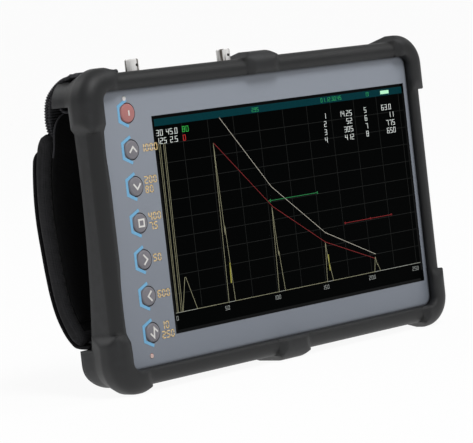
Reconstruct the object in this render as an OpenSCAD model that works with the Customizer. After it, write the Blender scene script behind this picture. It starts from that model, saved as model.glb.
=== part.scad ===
// Handheld ultrasonic flaw detector: seven inch screen, seven keys, rubber boot, padded hand strap.
// The screen looks along -Y, +X is to the right seen from the front and +Z is up.
// The origin lies on the flat under the middle bottom bump of the boot.
// Depths named ..._back are measured rearward from the face of the front panel.

/* [Boot] */
// Width over the side rails
boot_w = 201.5; // [190:0.5:215]
// Height over the top and bottom rails
boot_h = 125.5; // [122:0.5:140]
// Width of a rail seen from the front
rail_w = 7; // [6:0.25:8]
// Height of a rail in front of the panel face
rail_lip = 3; // [2:0.25:4]
// Rounding of the front edge of a rail
rail_round = 4.5; // [1:0.25:4.5]
// Depth of the rear edge of the boot behind the panel face
boot_back = 19.5; // [18.5:0.5:22]
// Thickness of the boot wall round the case
boot_wall = 3.4; // [2.4:0.1:4]
// Corner rounding over the rails, seen from the front
boot_corner_r = 11; // [10:0.5:14]
// Greatest depth of the hollow in the inner edge of the left rail
rail_waist = 1.85; // [0:0.05:1.85]
// Depth of the origin behind the panel face
origin_back = 9; // [6:0.5:12]

/* [Boot bumps] */
// Height of the bumps above the rails
bump_rise = 2.6; // [1.5:0.1:4]
// Height of the bumps in front of the rails
bump_lip = 1.5; // [0.5:0.1:3]
// Length of the sloping end of a bump
bump_ramp = 4; // [1:0.25:6]
// Length of the left corner bumps along the top and bottom rails
left_bump_w = 19; // [18:0.5:26]
// Length of the right corner bumps along the top and bottom rails
right_bump_w = 18.5; // [18:0.5:26]
// Length of the corner bumps along the side rails
corner_bump_h = 25; // [16:0.5:32]
// Length of the middle bumps
mid_bump_w = 19; // [14:0.5:26]
// Distance of the middle bumps from the receive socket
mid_bump_gap = 13.5; // [12.5:0.5:15]
// Depth at which the flat of a bump ends
bump_flat_back = 5; // [3:0.5:8]
// Depth at which a bump has sunk into the rail
bump_end_back = 12; // [9:0.5:16]
// Length of the flat under the middle bottom bump, behind the panel face
foot_flat_back = 13; // [12.5:0.5:15]
// Depth where the middle bottom bump has sunk into the rail, behind the panel face
foot_end_back = 18; // [16:0.5:18.4]

/* [Strap lugs] */
// Length of the lugs from the left edge of the boot
lug_w = 43; // [40:0.5:50]
// Height of the upper lug
upper_lug_h = 11.5; // [10:0.5:14]
// Height of the lower lug
lower_lug_h = 16.5; // [12:0.5:20]
// Rounding of the upper rear edge of the upper lug
upper_lug_r = 3; // [2:0.5:5]
// Rounding of the lower rear edge of the lower lug
lower_lug_r = 11; // [6:0.5:12]
// Smallest depth of the left side wall between the lugs
grip_edge_back = 7.7; // [6:0.1:9]
// Radius of the curve of that wall edge
grip_edge_r = 480; // [300:10:700]
// Height of the foremost point of that curve above the middle of the boot
grip_edge_up = 22; // [10:1:30]
// Width of the webbing slots in the lugs
slot_w = 28; // [27:0.5:32]
// Thickness of the webbing slots
slot_t = 2.8; // [2.5:0.1:3]
// Drop of the saddle that carries the upper webbing
saddle_drop = 2.6; // [2:0.1:3]
// Rounding of the rear of the saddle
saddle_r = 4; // [2:0.25:4.5]
// Diameter of the steel bars inside the lugs
strap_bar_d = 2.5; // [2:0.1:2.7]

/* [Case] */
// Gap between the case and the boot
boot_gap = 0.3; // [0.2:0.05:0.5]
// Thickness of the case walls
case_wall = 2; // [1.6:0.1:2.4]
// Thickness of the rear wall behind the keys
grip_wall = 1.5; // [1.2:0.1:1.6]
// Depth of the rear face behind the keys
grip_back = 11.5; // [11.3:0.1:12]
// Depth of the joint between the case halves
split_back = 6; // [5.5:0.25:6.5]
// Thickness of the case seal
seal_t = 0.8; // [0.5:0.1:1]
// Distance of the inner edge of the seal from the outside of the case
seal_w = 1.5; // [1.2:0.1:1.6]
// Depth of the rear face of the electronics bulge
bulge_back = 32; // [30:0.5:34]
// Width of the thin grip end as a share of the width of the boot
grip_share = 0.3722; // [0.36:0.0002:0.385]
// Bevel round the rear face of the bulge
bulge_bevel = 4; // [2:0.5:5]
// Thickness of the case plate behind the panel
face_t = 1.4; // [1.2:0.1:1.5]
// Diameter of the case screws
case_screw_d = 3; // [2.5:0.1:3.2]

/* [Panel and screen] */
// Thickness of the front panel
panel_t = 1.6; // [1.2:0.1:1.8]
// Width of the panel left of the picture area, where the keys stand
key_strip_w = 29.71; // [29:0.01:32]
// Width of the panel right of the picture area
right_strip_w = 3.71; // [3.2:0.01:6]
// Height of the panel above the picture area
top_strip_h = 13.29; // [12:0.01:16]
// Height of the panel below the picture area
low_strip_h = 12.29; // [11:0.01:15]
// Border of the window round the picture area
window_border = 1.2; // [1:0.1:1.6]
// Clearance round the window
window_gap = 0.15; // [0.1:0.05:0.3]
// Recess of the window behind the panel face
window_recess = 0.2; // [0:0.05:0.4]
// Thickness of the display module
lcd_t = 3.5; // [3:0.1:3.5]
// Border of the display module round the picture area
lcd_border = 4.5; // [4:0.1:4.8]
// Thickness of the display bracket
bracket_t = 0.8; // [0.6:0.1:1]

/* [Keys] */
// Diameter of a key
key_d = 7.8; // [7:0.1:8.2]
// Clearance round a key
key_gap = 0.3; // [0.25:0.05:0.4]
// Distance of the keys from the left edge of the panel opening
key_in = 15.35; // [14.5:0.05:16]
// Distance of the top key from the upper edge of the panel opening
top_key_in = 9.5; // [9:0.1:12]
// Distance of the lowest key from the lower edge of the panel opening
low_key_in = 13.5; // [12:0.1:16]
// Height of a key above the panel
key_rise = 1; // [0.8:0.1:1.4]
// Width of the rim that holds a key behind the panel
key_rim = 0.9; // [0.6:0.1:1]
// Thickness of that rim
key_rim_t = 0.8; // [0.6:0.1:0.9]
// Diameter of the stem behind a key
stem_d = 3; // [2:0.1:4]
// Travel of a key
key_travel = 0.6; // [0.4:0.05:0.7]
// Free gap between a stem and its switch beyond the travel
key_spare = 0.15; // [0.1:0.05:0.2]
// Height of a key switch
switch_t = 0.8; // [0.6:0.1:1]
// Height of the posts behind the keypad board
key_post_t = 2.2; // [2:0.1:2.4]
// Width of the keypad board
keypad_w = 14; // [13:0.5:14.5]
// Thickness of the circuit boards
board_t = 1.4; // [1.2:0.1:1.6]
// Diameter of the two lights
light_d = 1.9; // [1.5:0.1:2.4]
// Distance of the upper light from the upper edge of the panel opening
status_in = 3.65; // [3.4:0.05:4.2]
// Distance of the lower light from the lower edge of the panel opening
charge_in = 4.35; // [3.5:0.05:5]

/* [Probe sockets] */
// Outside diameter of a socket
socket_d = 5.8; // [5:0.1:6]
// Diameter of the threaded lower part of a socket
thread_d = 6.2; // [6:0.05:6.3]
// Height of a socket above the top rail
socket_rise = 4.8; // [4:0.1:6]
// Depth of the socket axes
socket_back = 6.6; // [6.5:0.05:6.7]
// Distance of the transmit socket from the left side of the boot
transmit_in = 34.25; // [33:0.25:36]
// Distance between the two sockets
socket_gap = 53; // [51:0.5:55]
// Diameter of the socket ring nuts
nut_d = 8; // [7.6:0.1:8.4]
// Thickness of the socket ring nuts
nut_t = 1.9; // [1.5:0.1:2]
// Diameter of the shoulder inside the case
shoulder_d = 6.6; // [6.4:0.05:6.7]
// Length of the shoulder inside the case
shoulder_t = 3.5; // [2.5:0.25:3.5]
// Bore of a socket
socket_bore_d = 4.2; // [3.6:0.1:4.4]
// Outside diameter of the insulator in a socket
contact_hole_d = 1.4; // [1:0.1:1.6]
// Depth of a socket bore
socket_depth = 6; // [4:0.25:6.5]

/* [Electronics] */
// Distance of the main board from the sides of the bulge
board_side = 7.5; // [7:0.25:12]
// Distance of the main board from the top and bottom of the bulge
board_end = 12; // [11.5:0.25:16]
// Depth of the front face of the main board
main_board_back = 13; // [12.6:0.1:13.5]
// Width of the pulser shield
shield_w = 44; // [30:1:48]
// Distance of the pulser shield from the battery door frame
shield_gap = 6; // [5:0.5:12]
// Depth of the pulser shield
shield_t = 7; // [5:0.5:8]
// Thickness of the shield metal
shield_wall = 0.5; // [0.4:0.1:0.8]
// Diameter of the sounder
sounder_d = 14; // [10:0.5:14]
// Thickness of the sounder
sounder_t = 4; // [3:0.5:6]
// Width of the battery pack
battery_w = 72; // [60:1:76]
// Height of the battery pack
battery_h = 54; // [48:1:56]
// Height of the battery pack above the bottom of the bulge
battery_up = 14; // [13:0.5:16]
// Thickness of the battery pack
battery_t = 11; // [9:0.5:11.5]
// Thickness of the battery door
door_t = 2; // [1.6:0.1:2.4]
// Clearance round the battery door
door_gap = 0.3; // [0.2:0.05:0.5]
// Width of the ledge under the battery door
door_ledge = 6.5; // [6:0.25:7]
// Depth of the frame that holds that ledge
ledge_t = 3; // [2.5:0.25:4]
// Diameter of the battery door screws
door_screw_d = 2.5; // [2:0.1:3]
// Diameter of the rear feet
foot_d = 7.5; // [6:0.5:8]
// Width of the charge port
port_w = 9; // [8:0.1:10]
// Thickness of the charge port
port_t = 3.2; // [3:0.1:3.4]
// Depth of the charge port in the case
port_l = 8; // [6:0.5:9]

/* [Hand strap] */
// Depth behind the origin that the strap routes are shares of
strap_stand = 28.5; // [28:0.5:30]
// Width of the webbing
webbing_w = 26; // [24:0.5:27]
// Thickness of one layer of webbing
webbing_t = 1.8; // [1.4:0.1:1.9]
// Distance of the webbing from the left side of the boot
webbing_in = 5.75; // [5.25:0.25:6.75]
// Distance of the pad from the left side of the boot
pad_in = 1.75; // [1:0.25:3.5]
// Width of the pad
pad_w = 36; // [32:0.5:38]
// Thickness of the pad in its middle
pad_t = 6.8; // [6:0.1:8]
// Thickness of the pad at its bound edges
pad_edge_t = 5.6; // [4:0.1:6]
// Distance of the closure flap from the left side of the boot
flap_in = 3.75; // [3:0.25:5]
// Width of the closure flap
flap_w = 30; // [26:0.5:32]
// Thickness of the closure flap
flap_t = 1.6; // [1.2:0.1:1.7]
// Thickness of the liner
liner_t = 1.2; // [0.8:0.1:1.4]
// Rounding of the upper end of the liner
liner_r = 9; // [5:0.5:12]

/* [Hidden] */
over = boot_gap;
fine = 96;
mid = 48;
half_w = boot_w / 2;
half_h = boot_h / 2;
mid_z = half_h + bump_rise;
full_h = 2 * mid_z;
open_w = half_w - rail_w;
open_h = half_h - rail_w;
screen_w = 2 * open_w - key_strip_w - right_strip_w;
screen_h = 2 * open_h - top_strip_h - low_strip_h;
screen_x = (key_strip_w - right_strip_w) / 2;
screen_z = mid_z + (low_strip_h - top_strip_h) / 2;
key_count = 7;
key_pitch = (2 * open_h - top_key_in - low_key_in) / (key_count - 1);
key_x = open_w - key_in;
transmit_x = half_w - transmit_in;
receive_x = transmit_x - socket_gap;
mid_bump_x = mid_bump_gap - receive_x;
webbing_left = half_w - webbing_in;
pad_left = half_w - pad_in;
open_r = boot_corner_r - rail_w;
bump_x = half_w + bump_rise;
bump_z = half_h + bump_rise;
case_w = half_w - boot_wall - boot_gap;
case_h = half_h - boot_wall - boot_gap;
case_r = boot_corner_r - boot_wall - boot_gap;
front = -origin_back;
rear = boot_back - origin_back;
grip_y = grip_back - origin_back;
bulge_y = bulge_back - origin_back;
split_y = split_back - origin_back;
face_y = front + panel_t;
plate_y = face_y + face_t;
lug_y = grip_y + boot_gap;
lug_end = lug_w - half_w;
upper_lug_z = mid_z + half_h - upper_lug_h;
lower_lug_z = mid_z - half_h + lower_lug_h;
slot_y = lug_y + slot_t / 2;
slot_x = webbing_w / 2 - webbing_left;
beam_y = (lug_y + slot_t + rear) / 2;
panel_rim = case_wall * 0.6;
panel_w = case_w - panel_rim;
panel_h = case_h - panel_rim;
panel_r = case_r - panel_rim;
window_w = screen_w / 2 + window_border;
window_h = screen_h / 2 + window_border;
lcd_w = screen_w / 2 + lcd_border;
lcd_h = screen_h / 2 + lcd_border;
lcd_y = plate_y + lcd_t;
board_y = grip_y - grip_wall - key_post_t - board_t;
switch_y = board_y - switch_t;
stem_y = switch_y - key_travel - key_spare;
bulge_left = case_w - grip_share * boot_w;
bulge_mid = (case_w - bulge_left) / 2;
bulge_half = (case_w + bulge_left) / 2;
main_board_w = 2 * (bulge_half - board_side);
main_board_h = 2 * (case_h - board_end);
main_y = main_board_back - origin_back;
main_rear = main_y + board_t;
door_w = battery_w / 2 + key_gap + door_ledge;
door_h = battery_h / 2 + key_gap + door_ledge;
battery_z = mid_z - case_h + battery_up + battery_h / 2;
shield_z = battery_z + battery_h / 2 + shield_gap;
shield_h = mid_z + main_board_h / 2 - case_wall - shield_z;
battery_y = bulge_y - door_t - boot_gap - battery_t;

// Points of an arc round a centre, from angle a to angle b
function arc(c, r, a, b, n) =
  [for (i = [0 : n]) c + r * [cos(a + (b - a) * i / n), sin(a + (b - a) * i / n)]];

// Outline of a rail, from the edge of the panel opening outward
function rail_points() = concat(
  [[rail_w - boot_wall, rear], [rail_w - boot_wall, front], [0, front]],
  arc([rail_lip / 2, front - rail_lip / 2], rail_lip / 2, 180, 270, 6),
  arc([rail_w - rail_round, front - rail_lip + rail_round], rail_round, 270, 360, 8),
  [[rail_w, rear]]);

// Outline of a bump, which stands over the rail and sinks into it toward the rear
function bump_points(flat, end) = let (top = front - rail_lip - bump_lip, r = rail_round + bump_lip) concat(
  [[rail_w - boot_wall, end - origin_back], [rail_w - boot_wall, front], [0, front]],
  arc([rail_lip / 2, top + rail_lip / 2], rail_lip / 2, 180, 270, 6),
  arc([rail_w + bump_rise - r, top + r], r, 270, 360, 10),
  [[rail_w + bump_rise, flat - origin_back], [rail_w, end - origin_back]]);

// A flat outline seen from the front, from one depth to another
module slab(y0, y1) {
  translate([0, y1, 0])
    rotate([90, 0, 0])
      linear_extrude(y1 - y0)
        children();
}

// A side view outline, drawn as depth and height, from one x to another
module side_slab(x0, x1) {
  translate([x0, 0, 0])
    rotate([90, 0, 90])
      linear_extrude(x1 - x0)
        children();
}

// A rectangle with true round corners between two opposite corner points
module round_rect(x0, z0, x1, z1, r) {
  translate([x0 + r, z0])
    square([x1 - x0 - 2 * r, z1 - z0]);
  translate([x0, z0 + r])
    square([x1 - x0, z1 - z0 - 2 * r]);
  for (x = [x0 + r, x1 - r], z = [z0 + r, z1 - r])
    translate([x, z])
      circle(r, $fn = mid);
}

// The same round the middle of the boot
module mid_rect(w, h, r) {
  round_rect(-w, mid_z - h, w, mid_z + h, r);
}

module screen_rect(w, h) {
  translate([screen_x - w, screen_z - h])
    square([2 * w, 2 * h]);
}

// The four mirror images of what stands in the upper right quarter
module quarters() {
  for (sx = [0, 1], sz = [0, 1])
    translate([0, 0, mid_z])
      mirror([sx, 0, 0])
        mirror([0, 0, sz])
          translate([0, 0, -mid_z])
            children();
}

// A rail outline led round the panel opening
module ring(points) {
  run_w = open_w - open_r;
  run_h = open_h - open_r;
  for (side = [0, 1])
    mirror([side, 0, 0])
      translate([open_w, 0, mid_z - run_h])
        linear_extrude(2 * run_h)
          polygon(points);
  for (side = [0, 1])
    translate([run_w, 0, mid_z])
      mirror([0, 0, side])
        translate([0, 0, open_h])
          rotate([0, -90, 0])
            linear_extrude(2 * run_w)
              polygon(points);
  quarters()
    translate([run_w, 0, mid_z + run_h])
      rotate([90, 0, 0])
        rotate_extrude(angle = 90, $fn = mid)
          translate([open_r, 0])
            mirror([0, 1])
              polygon(points);
}

// The outline of a plan view, drawn as x and depth, over the whole height
module plan_slab() {
  translate([0, 0, -over])
    linear_extrude(full_h + 2 * over)
      children();
}

// Where a corner bump stands, seen from the front
module corner_zone(sx, sz, w) {
  x0 = bump_x - w;
  z0 = bump_z - corner_bump_h;
  points = [[x0, z0], [x0, half_h], [x0 + bump_ramp, bump_z + over], [bump_x + over, bump_z + over],
    [bump_x + over, z0 + bump_ramp], [half_w, z0]];
  polygon([for (p = points) [sx * p[0], mid_z + sz * p[1]]]);
}

// The same with its ends sloping up to the front crest of the bump as well
module corner_block(sx, sz, w) {
  x0 = bump_x - w;
  z0 = bump_z - corner_bump_h;
  crest = front - rail_lip;
  peak = crest - bump_lip - over;
  intersection() {
    slab(peak, rear)
      corner_zone(sx, sz, w);
    side_slab(-bump_x - over, bump_x + over)
      polygon([for (p = [[peak, z0 + bump_ramp], [crest, z0], [rear, z0], [rear, bump_z + over],
        [peak, bump_z + over]]) [p[0], mid_z + sz * p[1]]]);
    plan_slab()
      polygon([for (p = [[x0 + bump_ramp, peak], [x0, crest], [x0, rear], [bump_x + over, rear],
        [bump_x + over, peak]]) [sx * p[0], p[1]]]);
  }
}

// Where a middle bump stands, with its ends sloping up to its crest
module middle_block(sz) {
  w = mid_bump_w / 2;
  crest = front - rail_lip;
  peak = crest - bump_lip - over;
  points = [[-w, open_h - over], [-w, half_h], [bump_ramp - w, bump_z + over], [w - bump_ramp, bump_z + over],
    [w, half_h], [w, open_h - over]];
  intersection() {
    slab(peak, rear)
      polygon([for (p = points) [mid_bump_x + p[0], mid_z + sz * p[1]]]);
    plan_slab()
      polygon([for (p = [[-w, rear], [-w, crest], [bump_ramp - w, peak], [w - bump_ramp, peak], [w, crest],
        [w, rear]]) [mid_bump_x + p[0], p[1]]]);
  }
}

// A lug block behind the thin end of the case, between two heights
module lug(z0, z1) {
  intersection() {
    side_slab(-half_w, lug_end)
      translate([lug_y, z0])
        square([rear - lug_y, z1 - z0]);
    slab(front, rear)
      mid_rect(half_w, half_h, boot_corner_r);
  }
}

// What a rounded rear edge takes off: sz is 1 for an upper edge and -1 for a lower one
module edge_round(x0, x1, z, sz, r) {
  side_slab(x0, x1)
    difference() {
      translate([rear - r, min(z - sz * r, z + sz * over)])
        square([r + over, r + over]);
      translate([rear - r, z - sz * r])
        circle(r, $fn = fine);
    }
}

// Space for the hand: the left wall is cut back between the lugs along a wide curve
module grip_cut() {
  z0 = lower_lug_z;
  z1 = upper_lug_z;
  zc = mid_z + grip_edge_up;
  yc = grip_edge_back - origin_back + grip_edge_r;
  n = 16;
  edge = [for (i = [0 : n]) let (z = z0 + (z1 - z0) * i / n)
    [yc - sqrt(pow(grip_edge_r, 2) - pow(z - zc, 2)), z]];
  side_slab(-bump_x - over, lug_end)
    polygon(concat(edge, [[rear + over, z1], [rear + over, z0]]));
}

// Shallow hollows in the inner edge of the left rail, above and below its middle
module waist_cut() {
  edge = bend([for (p = waist_shares) [-open_w + over / 4 - (rail_waist + over / 4) * p[0], p[1] * full_h]], 3);
  n = len(edge);
  slab(front - rail_lip - bump_lip - over, front)
    polygon(concat(edge, [[over - open_w, edge[n - 1][1]], [over - open_w, edge[0][1]]]));
}

module slot_cut(z0, z1) {
  translate([slot_x - slot_w / 2, lug_y, z0])
    cube([slot_w, slot_t, z1 - z0]);
}

// Rubber boot with raised bumps, strap lugs and an open back
module rubber_boot() {
  saddle_z = mid_z + half_h - saddle_drop;
  color([0.22, 0.22, 0.23])
    difference() {
      union() {
        ring(rail_points());
        intersection() {
          ring(bump_points(bump_flat_back, bump_end_back));
          union() {
            for (sz = [-1, 1]) {
              corner_block(-1, sz, left_bump_w);
              corner_block(1, sz, right_bump_w);
            }
            middle_block(1);
          }
        }
        intersection() {
          ring(bump_points(foot_flat_back, foot_end_back));
          middle_block(-1);
        }
        lug(upper_lug_z, mid_z + half_h);
        lug(mid_z - half_h, lower_lug_z);
      }
      grip_cut();
      waist_cut();
      edge_round(-bump_x - over, lug_end, mid_z + bump_z, 1, upper_lug_r);
      edge_round(-bump_x - over, lug_end, mid_z - bump_z, -1, lower_lug_r);
      slot_cut(upper_lug_z - over, mid_z + bump_z + over);
      slot_cut(mid_z - half_h + 2 * boot_wall, lower_lug_z + over);
      translate([slot_x - slot_w / 2, lug_y, saddle_z])
        cube([slot_w, rear - lug_y + over, saddle_drop + bump_rise + over]);
      edge_round(slot_x - slot_w / 2, slot_x + slot_w / 2, saddle_z, 1, saddle_r);
      strap_bars(strap_bar_d + over / 6);
      for (x = [-transmit_x, -receive_x])
        translate([x, socket_back - origin_back, mid_z + open_h])
          cylinder(h = rail_w + bump_rise + over, d = nut_d + 2 * key_gap, $fn = fine);
      port_space(half_w + over, port_t);
    }
}

// The steel bars that hold the webbing, one along each lug
module strap_bar(y, z, d) {
  translate([-half_w + boot_wall, y, z])
    rotate([0, 90, 0])
      cylinder(h = lug_w - 2 * boot_wall, d = d, $fn = mid);
}

module strap_bars(d) {
  upper_bar(d);
  lower_bar(d);
}

module upper_bar(d) {
  strap_bar(beam_y, upper_lug_z + saddle_r, d);
}

module lower_bar(d) {
  strap_bar(slot_y, mid_z - half_h + 2 * boot_wall + strap_bar_d / 2, d);
}

module upper_strap_bar() {
  color("silver") upper_bar(strap_bar_d);
}

module lower_strap_bar() {
  color("silver") lower_bar(strap_bar_d);
}

// Opening for the charge port in the right wall, out to a given x
module port_space(x, grow) {
  y0 = main_y - port_t - grow / 2;
  y1 = main_y + grow / 2;
  w = port_w / 2 + grow / 2;
  translate([case_w - port_l, y0, mid_z - battery_h / 2 - w])
    cube([x + over - case_w + port_l, y1 - y0, 2 * w]);
}

// A hole or rod along the depth, from one depth to another
module rod(x, z, y0, y1, d) {
  translate([x, y1, z])
    rotate([90, 0, 0])
      cylinder(h = y1 - y0, d = d, $fn = mid);
}

function key_z(i) = mid_z + open_h - top_key_in - key_pitch * i;

// Places of the six case screws as x and height
screw_in = case_screw_d * 2;
left_screw_x = screw_in - case_w;
bulge_in = bulge_bevel + case_screw_d;
function case_screw_places() = concat(
  [for (s = [-1, 1]) [left_screw_x, mid_z + s * key_pitch * 3]],
  [for (x = [mid_bump_x, case_w - bulge_in], s = [-1, 1]) [x, mid_z + s * (case_h - bulge_in)]]);
boss_d = case_screw_d * 1.8;
seat_y = grip_y - case_screw_d * 0.7;
head_t = case_screw_d * 0.6;
head_d = case_screw_d * 1.75;

// Places of the four display bracket posts
ear = case_wall * 3;
post_z = lcd_h + ear / 2 + boot_gap;
function ear_places() = [for (x = [-1, 1], z = [-1, 1]) [screen_x + x * lcd_w * 0.75, screen_z + z * post_z]];

// Front half of the case: a plate behind the panel, with a rim, bosses and posts
module front_case() {
  color([0.16, 0.16, 0.17])
    difference() {
      union() {
        difference() {
          slab(front, split_y - seal_t / 2)
            mid_rect(case_w, case_h, case_r);
          slab(plate_y, split_y)
            mid_rect(case_w - case_wall, case_h - case_wall, case_r - case_wall);
        }
        for (p = case_screw_places())
          rod(p[0], p[1], plate_y, split_y - seal_t / 2, boss_d);
        for (p = ear_places())
          rod(p[0], p[1], plate_y, lcd_y, ear * 0.7);
      }
      slab(front - over, face_y)
        mid_rect(panel_w + window_gap, panel_h + window_gap, panel_r + window_gap);
      slab(face_y - over, plate_y + over)
        screen_rect(screen_w / 2 + window_gap, screen_h / 2 + window_gap);
      for (i = [0 : key_count - 1])
        rod(-key_x, key_z(i), face_y - over, plate_y + over, key_d + 2 * key_gap);
      lights(light_d + 2 * window_gap, face_y - over, plate_y + over);
      for (p = case_screw_places())
        rod(p[0], p[1], plate_y + over, split_y, case_screw_d + over / 6);
      sockets(thread_d + over / 3, mid_z + case_h - case_wall - over, full_h);
    }
}

// The two light places, as rods of one diameter
module lights(d, y0, y1) {
  status_rod(d, y0, y1);
  charge_rod(d, y0, y1);
}

module status_rod(d, y0, y1) {
  rod(-key_x - light_d / 2, mid_z + open_h - status_in, y0, y1, d);
}

module charge_rod(d, y0, y1) {
  rod(-key_x - light_d, mid_z - open_h + charge_in, y0, y1, d);
}

// Upright cylinders at both socket places, between two heights
module sockets(d, z0, z1) {
  for (x = [-transmit_x, -receive_x])
    translate([x, socket_back - origin_back, z0])
      cylinder(h = z1 - z0, d = d, $fn = fine);
}

// Outline of the electronics bulge, seen from the front, moved in by a distance
module bulge_outline(in) {
  r = max(case_r - in, over);
  round_rect(in - bulge_left, mid_z - case_h + in, case_w - in, mid_z + case_h - in, r);
}

// The bulge with a bevelled rear face, moved in by a distance
module bulge_body(in, y0) {
  hull() {
    slab(y0, bulge_y - bulge_bevel - in / 2)
      bulge_outline(in);
    slab(y0, bulge_y - in)
      bulge_outline(in / 2 + bulge_bevel);
  }
}

// Rear half of the case with the thin grip end and the bulge
module rear_case() {
  y0 = split_y + seal_t / 2;
  color([0.16, 0.16, 0.17])
    difference() {
      union() {
        difference() {
          union() {
            slab(y0, grip_y)
              mid_rect(case_w, case_h, case_r);
            bulge_body(0, y0);
          }
          difference() {
            slab(y0 - over, grip_y - grip_wall)
              mid_rect(case_w - case_wall, case_h - case_wall, case_r - case_wall);
            slab(y0 - over, grip_y)
              bulge_outline(0);
          }
          difference() {
            bulge_body(case_wall, y0 - over);
            translate([-bulge_left, grip_y - grip_wall, mid_z - case_h])
              cube([case_wall, grip_wall, 2 * case_h]);
          }
          translate([-bulge_left - over, y0 - over, mid_z - case_h + case_wall])
            cube([case_r + 2 * over, grip_y - grip_wall - y0 + over, 2 * (case_h - case_wall)]);
        }
        for (p = case_screw_places())
          rod(p[0], p[1], y0, p[0] > -bulge_left ? bulge_y - case_wall : grip_y - grip_wall / 2,
            boss_d + case_wall);
        for (i = [0, 3, 6], s = [-1, 1])
          rod(-key_x + s * keypad_w / 3, key_z(i) - key_pitch / 2 * (i < 6 ? 1 : -1),
            board_y + board_t, grip_y - grip_wall / 2, stem_d);
        for (p = main_posts())
          rod(p[0], p[1], main_rear, bulge_y - case_wall, stem_d * 1.6);
        slab(bulge_y - door_t - ledge_t, bulge_y - case_wall / 2)
          door_rect(door_w + case_wall, door_h + case_wall);
      }
      for (p = case_screw_places()) {
        rod(p[0], p[1], y0 - over, bulge_y, case_screw_d + over / 3);
        rod(p[0], p[1], seat_y, bulge_y + over, head_d + over);
      }
      slab(bulge_y - door_t, bulge_y + over)
        door_rect(door_w + door_gap, door_h + door_gap);
      slab(bulge_y - door_t - ledge_t - over, bulge_y)
        door_rect(battery_w / 2 + key_gap, battery_h / 2 + key_gap);
      for (x = [-1, 1])
        rod(bulge_mid + x * door_screw_x(), battery_z, bulge_y - door_t - ledge_t - over, bulge_y,
          door_screw_d + over / 6);
      sockets(thread_d + over / 3, mid_z + case_h - case_wall - over, full_h);
      port_space(case_w, over);
    }
}

function door_screw_x() = battery_w / 2 + key_gap + door_ledge / 2;
function main_posts() = [for (x = [-1, 1], z = [-1, 1])
  [bulge_mid + x * (main_board_w / 2 - stem_d), mid_z + z * (main_board_h / 2 - stem_d * 2)]];

module door_rect(w, h) {
  translate([bulge_mid - w, battery_z - h])
    square([2 * w, 2 * h]);
}

// Seal between the case halves
module case_seal() {
  color([0.1, 0.1, 0.1])
    difference() {
      slab(split_y - seal_t / 2, split_y + seal_t / 2)
        difference() {
          mid_rect(case_w - over, case_h - over, case_r - over);
          mid_rect(case_w - seal_w, case_h - seal_w, case_r - seal_w);
        }
      sockets(thread_d + over, mid_z + case_h - case_wall - over, full_h);
    }
}

// Six screws that hold the case halves together
module case_screws() {
  color("silver")
    for (p = case_screw_places())
      difference() {
        union() {
          rod(p[0], p[1], plate_y + over, seat_y + head_t / 2, case_screw_d);
          rod(p[0], p[1], seat_y, seat_y + head_t, head_d);
        }
        hex_recess(p[0], p[1], seat_y + head_t, case_screw_d * 0.65);
      }
}

// Six sided recess for a key, sunk forward from a depth
module hex_recess(x, z, y, d) {
  translate([x, y + over, z])
    rotate([90, 0, 0])
      cylinder(h = d / 2 + over, d = d, $fn = 6);
}

// Front panel with the window opening, key holes and light holes
module front_panel() {
  color([0.5, 0.53, 0.57])
    difference() {
      slab(front, face_y)
        mid_rect(panel_w, panel_h, panel_r);
      slab(front - over, face_y + over)
        screen_rect(window_w + window_gap, window_h + window_gap);
      for (i = [0 : key_count - 1])
        rod(-key_x, key_z(i), front - over, face_y + over, key_d + 2 * key_gap);
      lights(light_d + 2 * window_gap, front - over, face_y + over);
    }
}

// Clear window, seated on the case plate
module display_window() {
  color([0.05, 0.08, 0.09])
    slab(front + window_recess, face_y)
      screen_rect(window_w, window_h);
}

// Display module behind the case plate
module display_module() {
  color([0.02, 0.03, 0.04])
    difference() {
      slab(plate_y, lcd_y)
        screen_rect(lcd_w, lcd_h);
      slab(plate_y - over, plate_y + bracket_t / 4)
        screen_rect(screen_w / 2, screen_h / 2);
    }
}

// Metal bracket that holds the display module on its posts
module display_bracket() {
  color([0.75, 0.76, 0.78])
    slab(lcd_y, lcd_y + bracket_t)
      difference() {
        union() {
          screen_rect(lcd_w, lcd_h);
          for (p = ear_places())
            translate([p[0] - ear / 2, p[1] - ear / 2])
              square([ear, ear]);
        }
        screen_rect(lcd_w - 2 * ear, lcd_h - 2 * ear);
      }
}

// One key: a bevelled cap with a rim behind the panel and a stem
module key_cap(i, tint) {
  y0 = front - key_rise;
  bevel = key_rise * 0.6;
  color(tint)
    translate([-key_x, 0, key_z(i)])
      rotate([-90, 0, 0])
        rotate_extrude($fn = fine)
          polygon([[0, y0], [key_d / 2 - bevel, y0], [key_d / 2, y0 + bevel],
            [key_d / 2, plate_y + key_gap / 3], [key_d / 2 + key_rim + key_gap / 3, plate_y + key_gap / 3],
            [key_d / 2 + key_rim + key_gap / 3, plate_y + key_gap / 3 + key_rim_t],
            [stem_d / 2, plate_y + key_gap / 3 + key_rim_t], [stem_d / 2, stem_y], [0, stem_y]]);
}

module power_key() {
  key_cap(0, [0.75, 0.45, 0.43]);
}

module up_key() {
  key_cap(1, [0.47, 0.46, 0.48]);
}

module down_key() {
  key_cap(2, [0.47, 0.46, 0.48]);
}

module select_key() {
  key_cap(3, [0.47, 0.46, 0.48]);
}

module right_key() {
  key_cap(4, [0.47, 0.46, 0.48]);
}

module left_key() {
  key_cap(5, [0.47, 0.46, 0.48]);
}

module step_key() {
  key_cap(6, [0.47, 0.46, 0.48]);
}

// Board that carries the key switches and the lights
module keypad_board() {
  z0 = mid_z - open_h + charge_in - light_d;
  z1 = mid_z + open_h - status_in + light_d;
  color([0.1, 0.35, 0.2])
    slab(board_y, board_y + board_t)
      translate([-key_x - keypad_w / 2, z0])
        square([keypad_w, z1 - z0]);
}

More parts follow.
